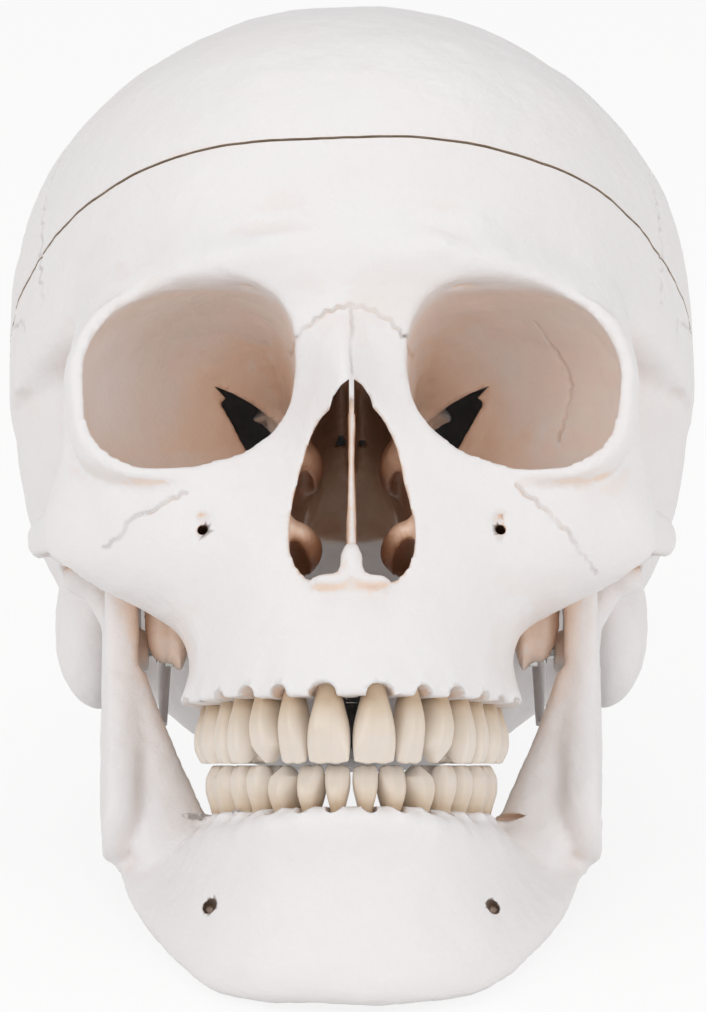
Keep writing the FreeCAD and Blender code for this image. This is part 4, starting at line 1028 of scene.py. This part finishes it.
def studio():
    """Floor, soft lamps and a white world."""
    bm = bmesh.new()
    bmesh.ops.create_grid(bm, x_segments=2, y_segments=2, size=FLOOR_HALF)
    floor = new_object("floor", bm)
    floor.data.materials.append(white_board("white_card"))
    world = bpy.data.worlds.new("studio")
    bpy.context.scene.world = world
    world.use_nodes = True
    tree = world.node_tree
    tree.nodes.clear()
    path = add(tree, "ShaderNodeLightPath")
    seen = add(tree, "ShaderNodeMath", {0: path.outputs["Is Camera Ray"],
                                        1: path.outputs["Is Transmission Ray"]},
               operation="MAXIMUM")
    strength = add(tree, "ShaderNodeMapRange", {0: seen.outputs[0], 3: SKY_STRENGTH, 4: 1.0})
    sky = add(tree, "ShaderNodeBackground", {"Color": linear("#FFFFFF"),
                                             "Strength": strength.outputs[0]})
    add(tree, "ShaderNodeOutputWorld", {"Surface": sky.outputs[0]})
    for name, spot, size, power in LAMPS:
        lamp = bpy.data.lights.new(name, "AREA")
        lamp.size = size
        lamp.energy = power
        obj = bpy.data.objects.new(name, lamp)
        obj.location = spot
        aim = Vector(LAMP_AIM) - Vector(spot)
        obj.rotation_euler = aim.to_track_quat("-Z", "Y").to_euler()
        bpy.context.scene.collection.objects.link(obj)


def picture_camera():
    """The photograph's camera: level with the teeth, a little below the head's own front."""
    back = -turn(0, math.cos(CAMERA_RISE), math.sin(CAMERA_RISE)) / MM
    data = bpy.data.cameras.new("picture_camera")
    data.sensor_width = 36.0
    data.lens = FOCAL_PIXELS * data.sensor_width / max(PICTURE)
    data.clip_start, data.clip_end = 0.1, 50.0
    camera = bpy.data.objects.new("picture_camera", data)
    camera.location = place(0, 0, 0) + back * CAMERA_RANGE * MM
    aside = math.atan((PICTURE[0] / 2 - HEAD_PIXEL[0]) / FOCAL_PIXELS)
    above = math.atan((HEAD_PIXEL[1] - PICTURE[1] / 2) / FOCAL_PIXELS)
    facing = (-back).to_track_quat("-Z", "Y").to_matrix()
    camera.rotation_euler = (facing @ Matrix.Rotation(above, 3, "X")
                             @ Matrix.Rotation(-aside, 3, "Y")).to_euler()
    bpy.context.scene.collection.objects.link(camera)
    bpy.context.scene.camera = camera


def dressed(obj, body, slot_name, *nodes):
    """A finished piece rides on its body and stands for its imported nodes."""
    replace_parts(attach(obj, body), *nodes)


def bones():
    """Skull, cap and jaw, with their marks and materials."""
    bone = cast_bone()
    edge = sawn_bone()
    skull, cap, lines = skull_and_cap()
    jaw = carved_jaw()
    bm = bmesh.new()
    for obj in (skull, cap, jaw):
        bm.from_mesh(obj.data)
    tree = BVHTree.FromBMesh(bm)
    bm.free()
    for obj, seams, canals in ((skull, lines, FACE_CANALS), (cap, lines, []),
                               (jaw, [], JAW_CANALS)):
        marked(obj, seams, canals, tree)
        obj.data.materials.clear()
        obj.data.materials.append(bone)
    sawn(skull, edge)
    sawn(cap, edge)
    dressed(skull, "skull_base", "cast_bone", *CASTING)
    dressed(cap, "cap", "cast_bone", "skull_cap")
    dressed(jaw, "jaw", "cast_bone", "lower_jaw")
    for name in ("left_styloid_process", "right_styloid_process"):
        painted(name, bone)


def painted(name, material):
    """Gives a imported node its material."""
    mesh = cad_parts[name].data
    mesh.materials.clear()
    mesh.materials.append(material)


def teeth():
    """All the teeth, each its own piece."""
    ivory = ivory_tooth()
    for name in UPPER_TEETH + LOWER_TEETH:
        body = "skull_base" if name in UPPER_TEETH else "jaw"
        dressed(tooth_look(name, ivory), body, "tooth_ivory", name)


def hardware():
    """Springs, screws, pins and magnets."""
    wire = metal("spring_steel", "#8E8F90", 0.30, 1.4)
    screw = metal("zinc_plated_steel", "#A2A29C", 0.36, 2.0)
    plate = metal("nickel_plate", "#B5B2AB", 0.22, 3.3)
    for side in (1, -1):
        name = ("left" if side > 0 else "right") + "_jaw_spring"
        spring = copied([name], name + "_wire")
        spring.data.materials.append(wire)
        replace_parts(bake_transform(spring), name)
    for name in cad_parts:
        if "screws" in name or "pins" in name:
            painted(name, screw)
        if "magnets" in name:
            painted(name, plate)


def main():
    """Builds the whole picture."""
    picture_camera()
    studio()
    bones()
    teeth()
    hardware()
    bpy.context.scene.view_settings.view_transform = "Standard"


main()
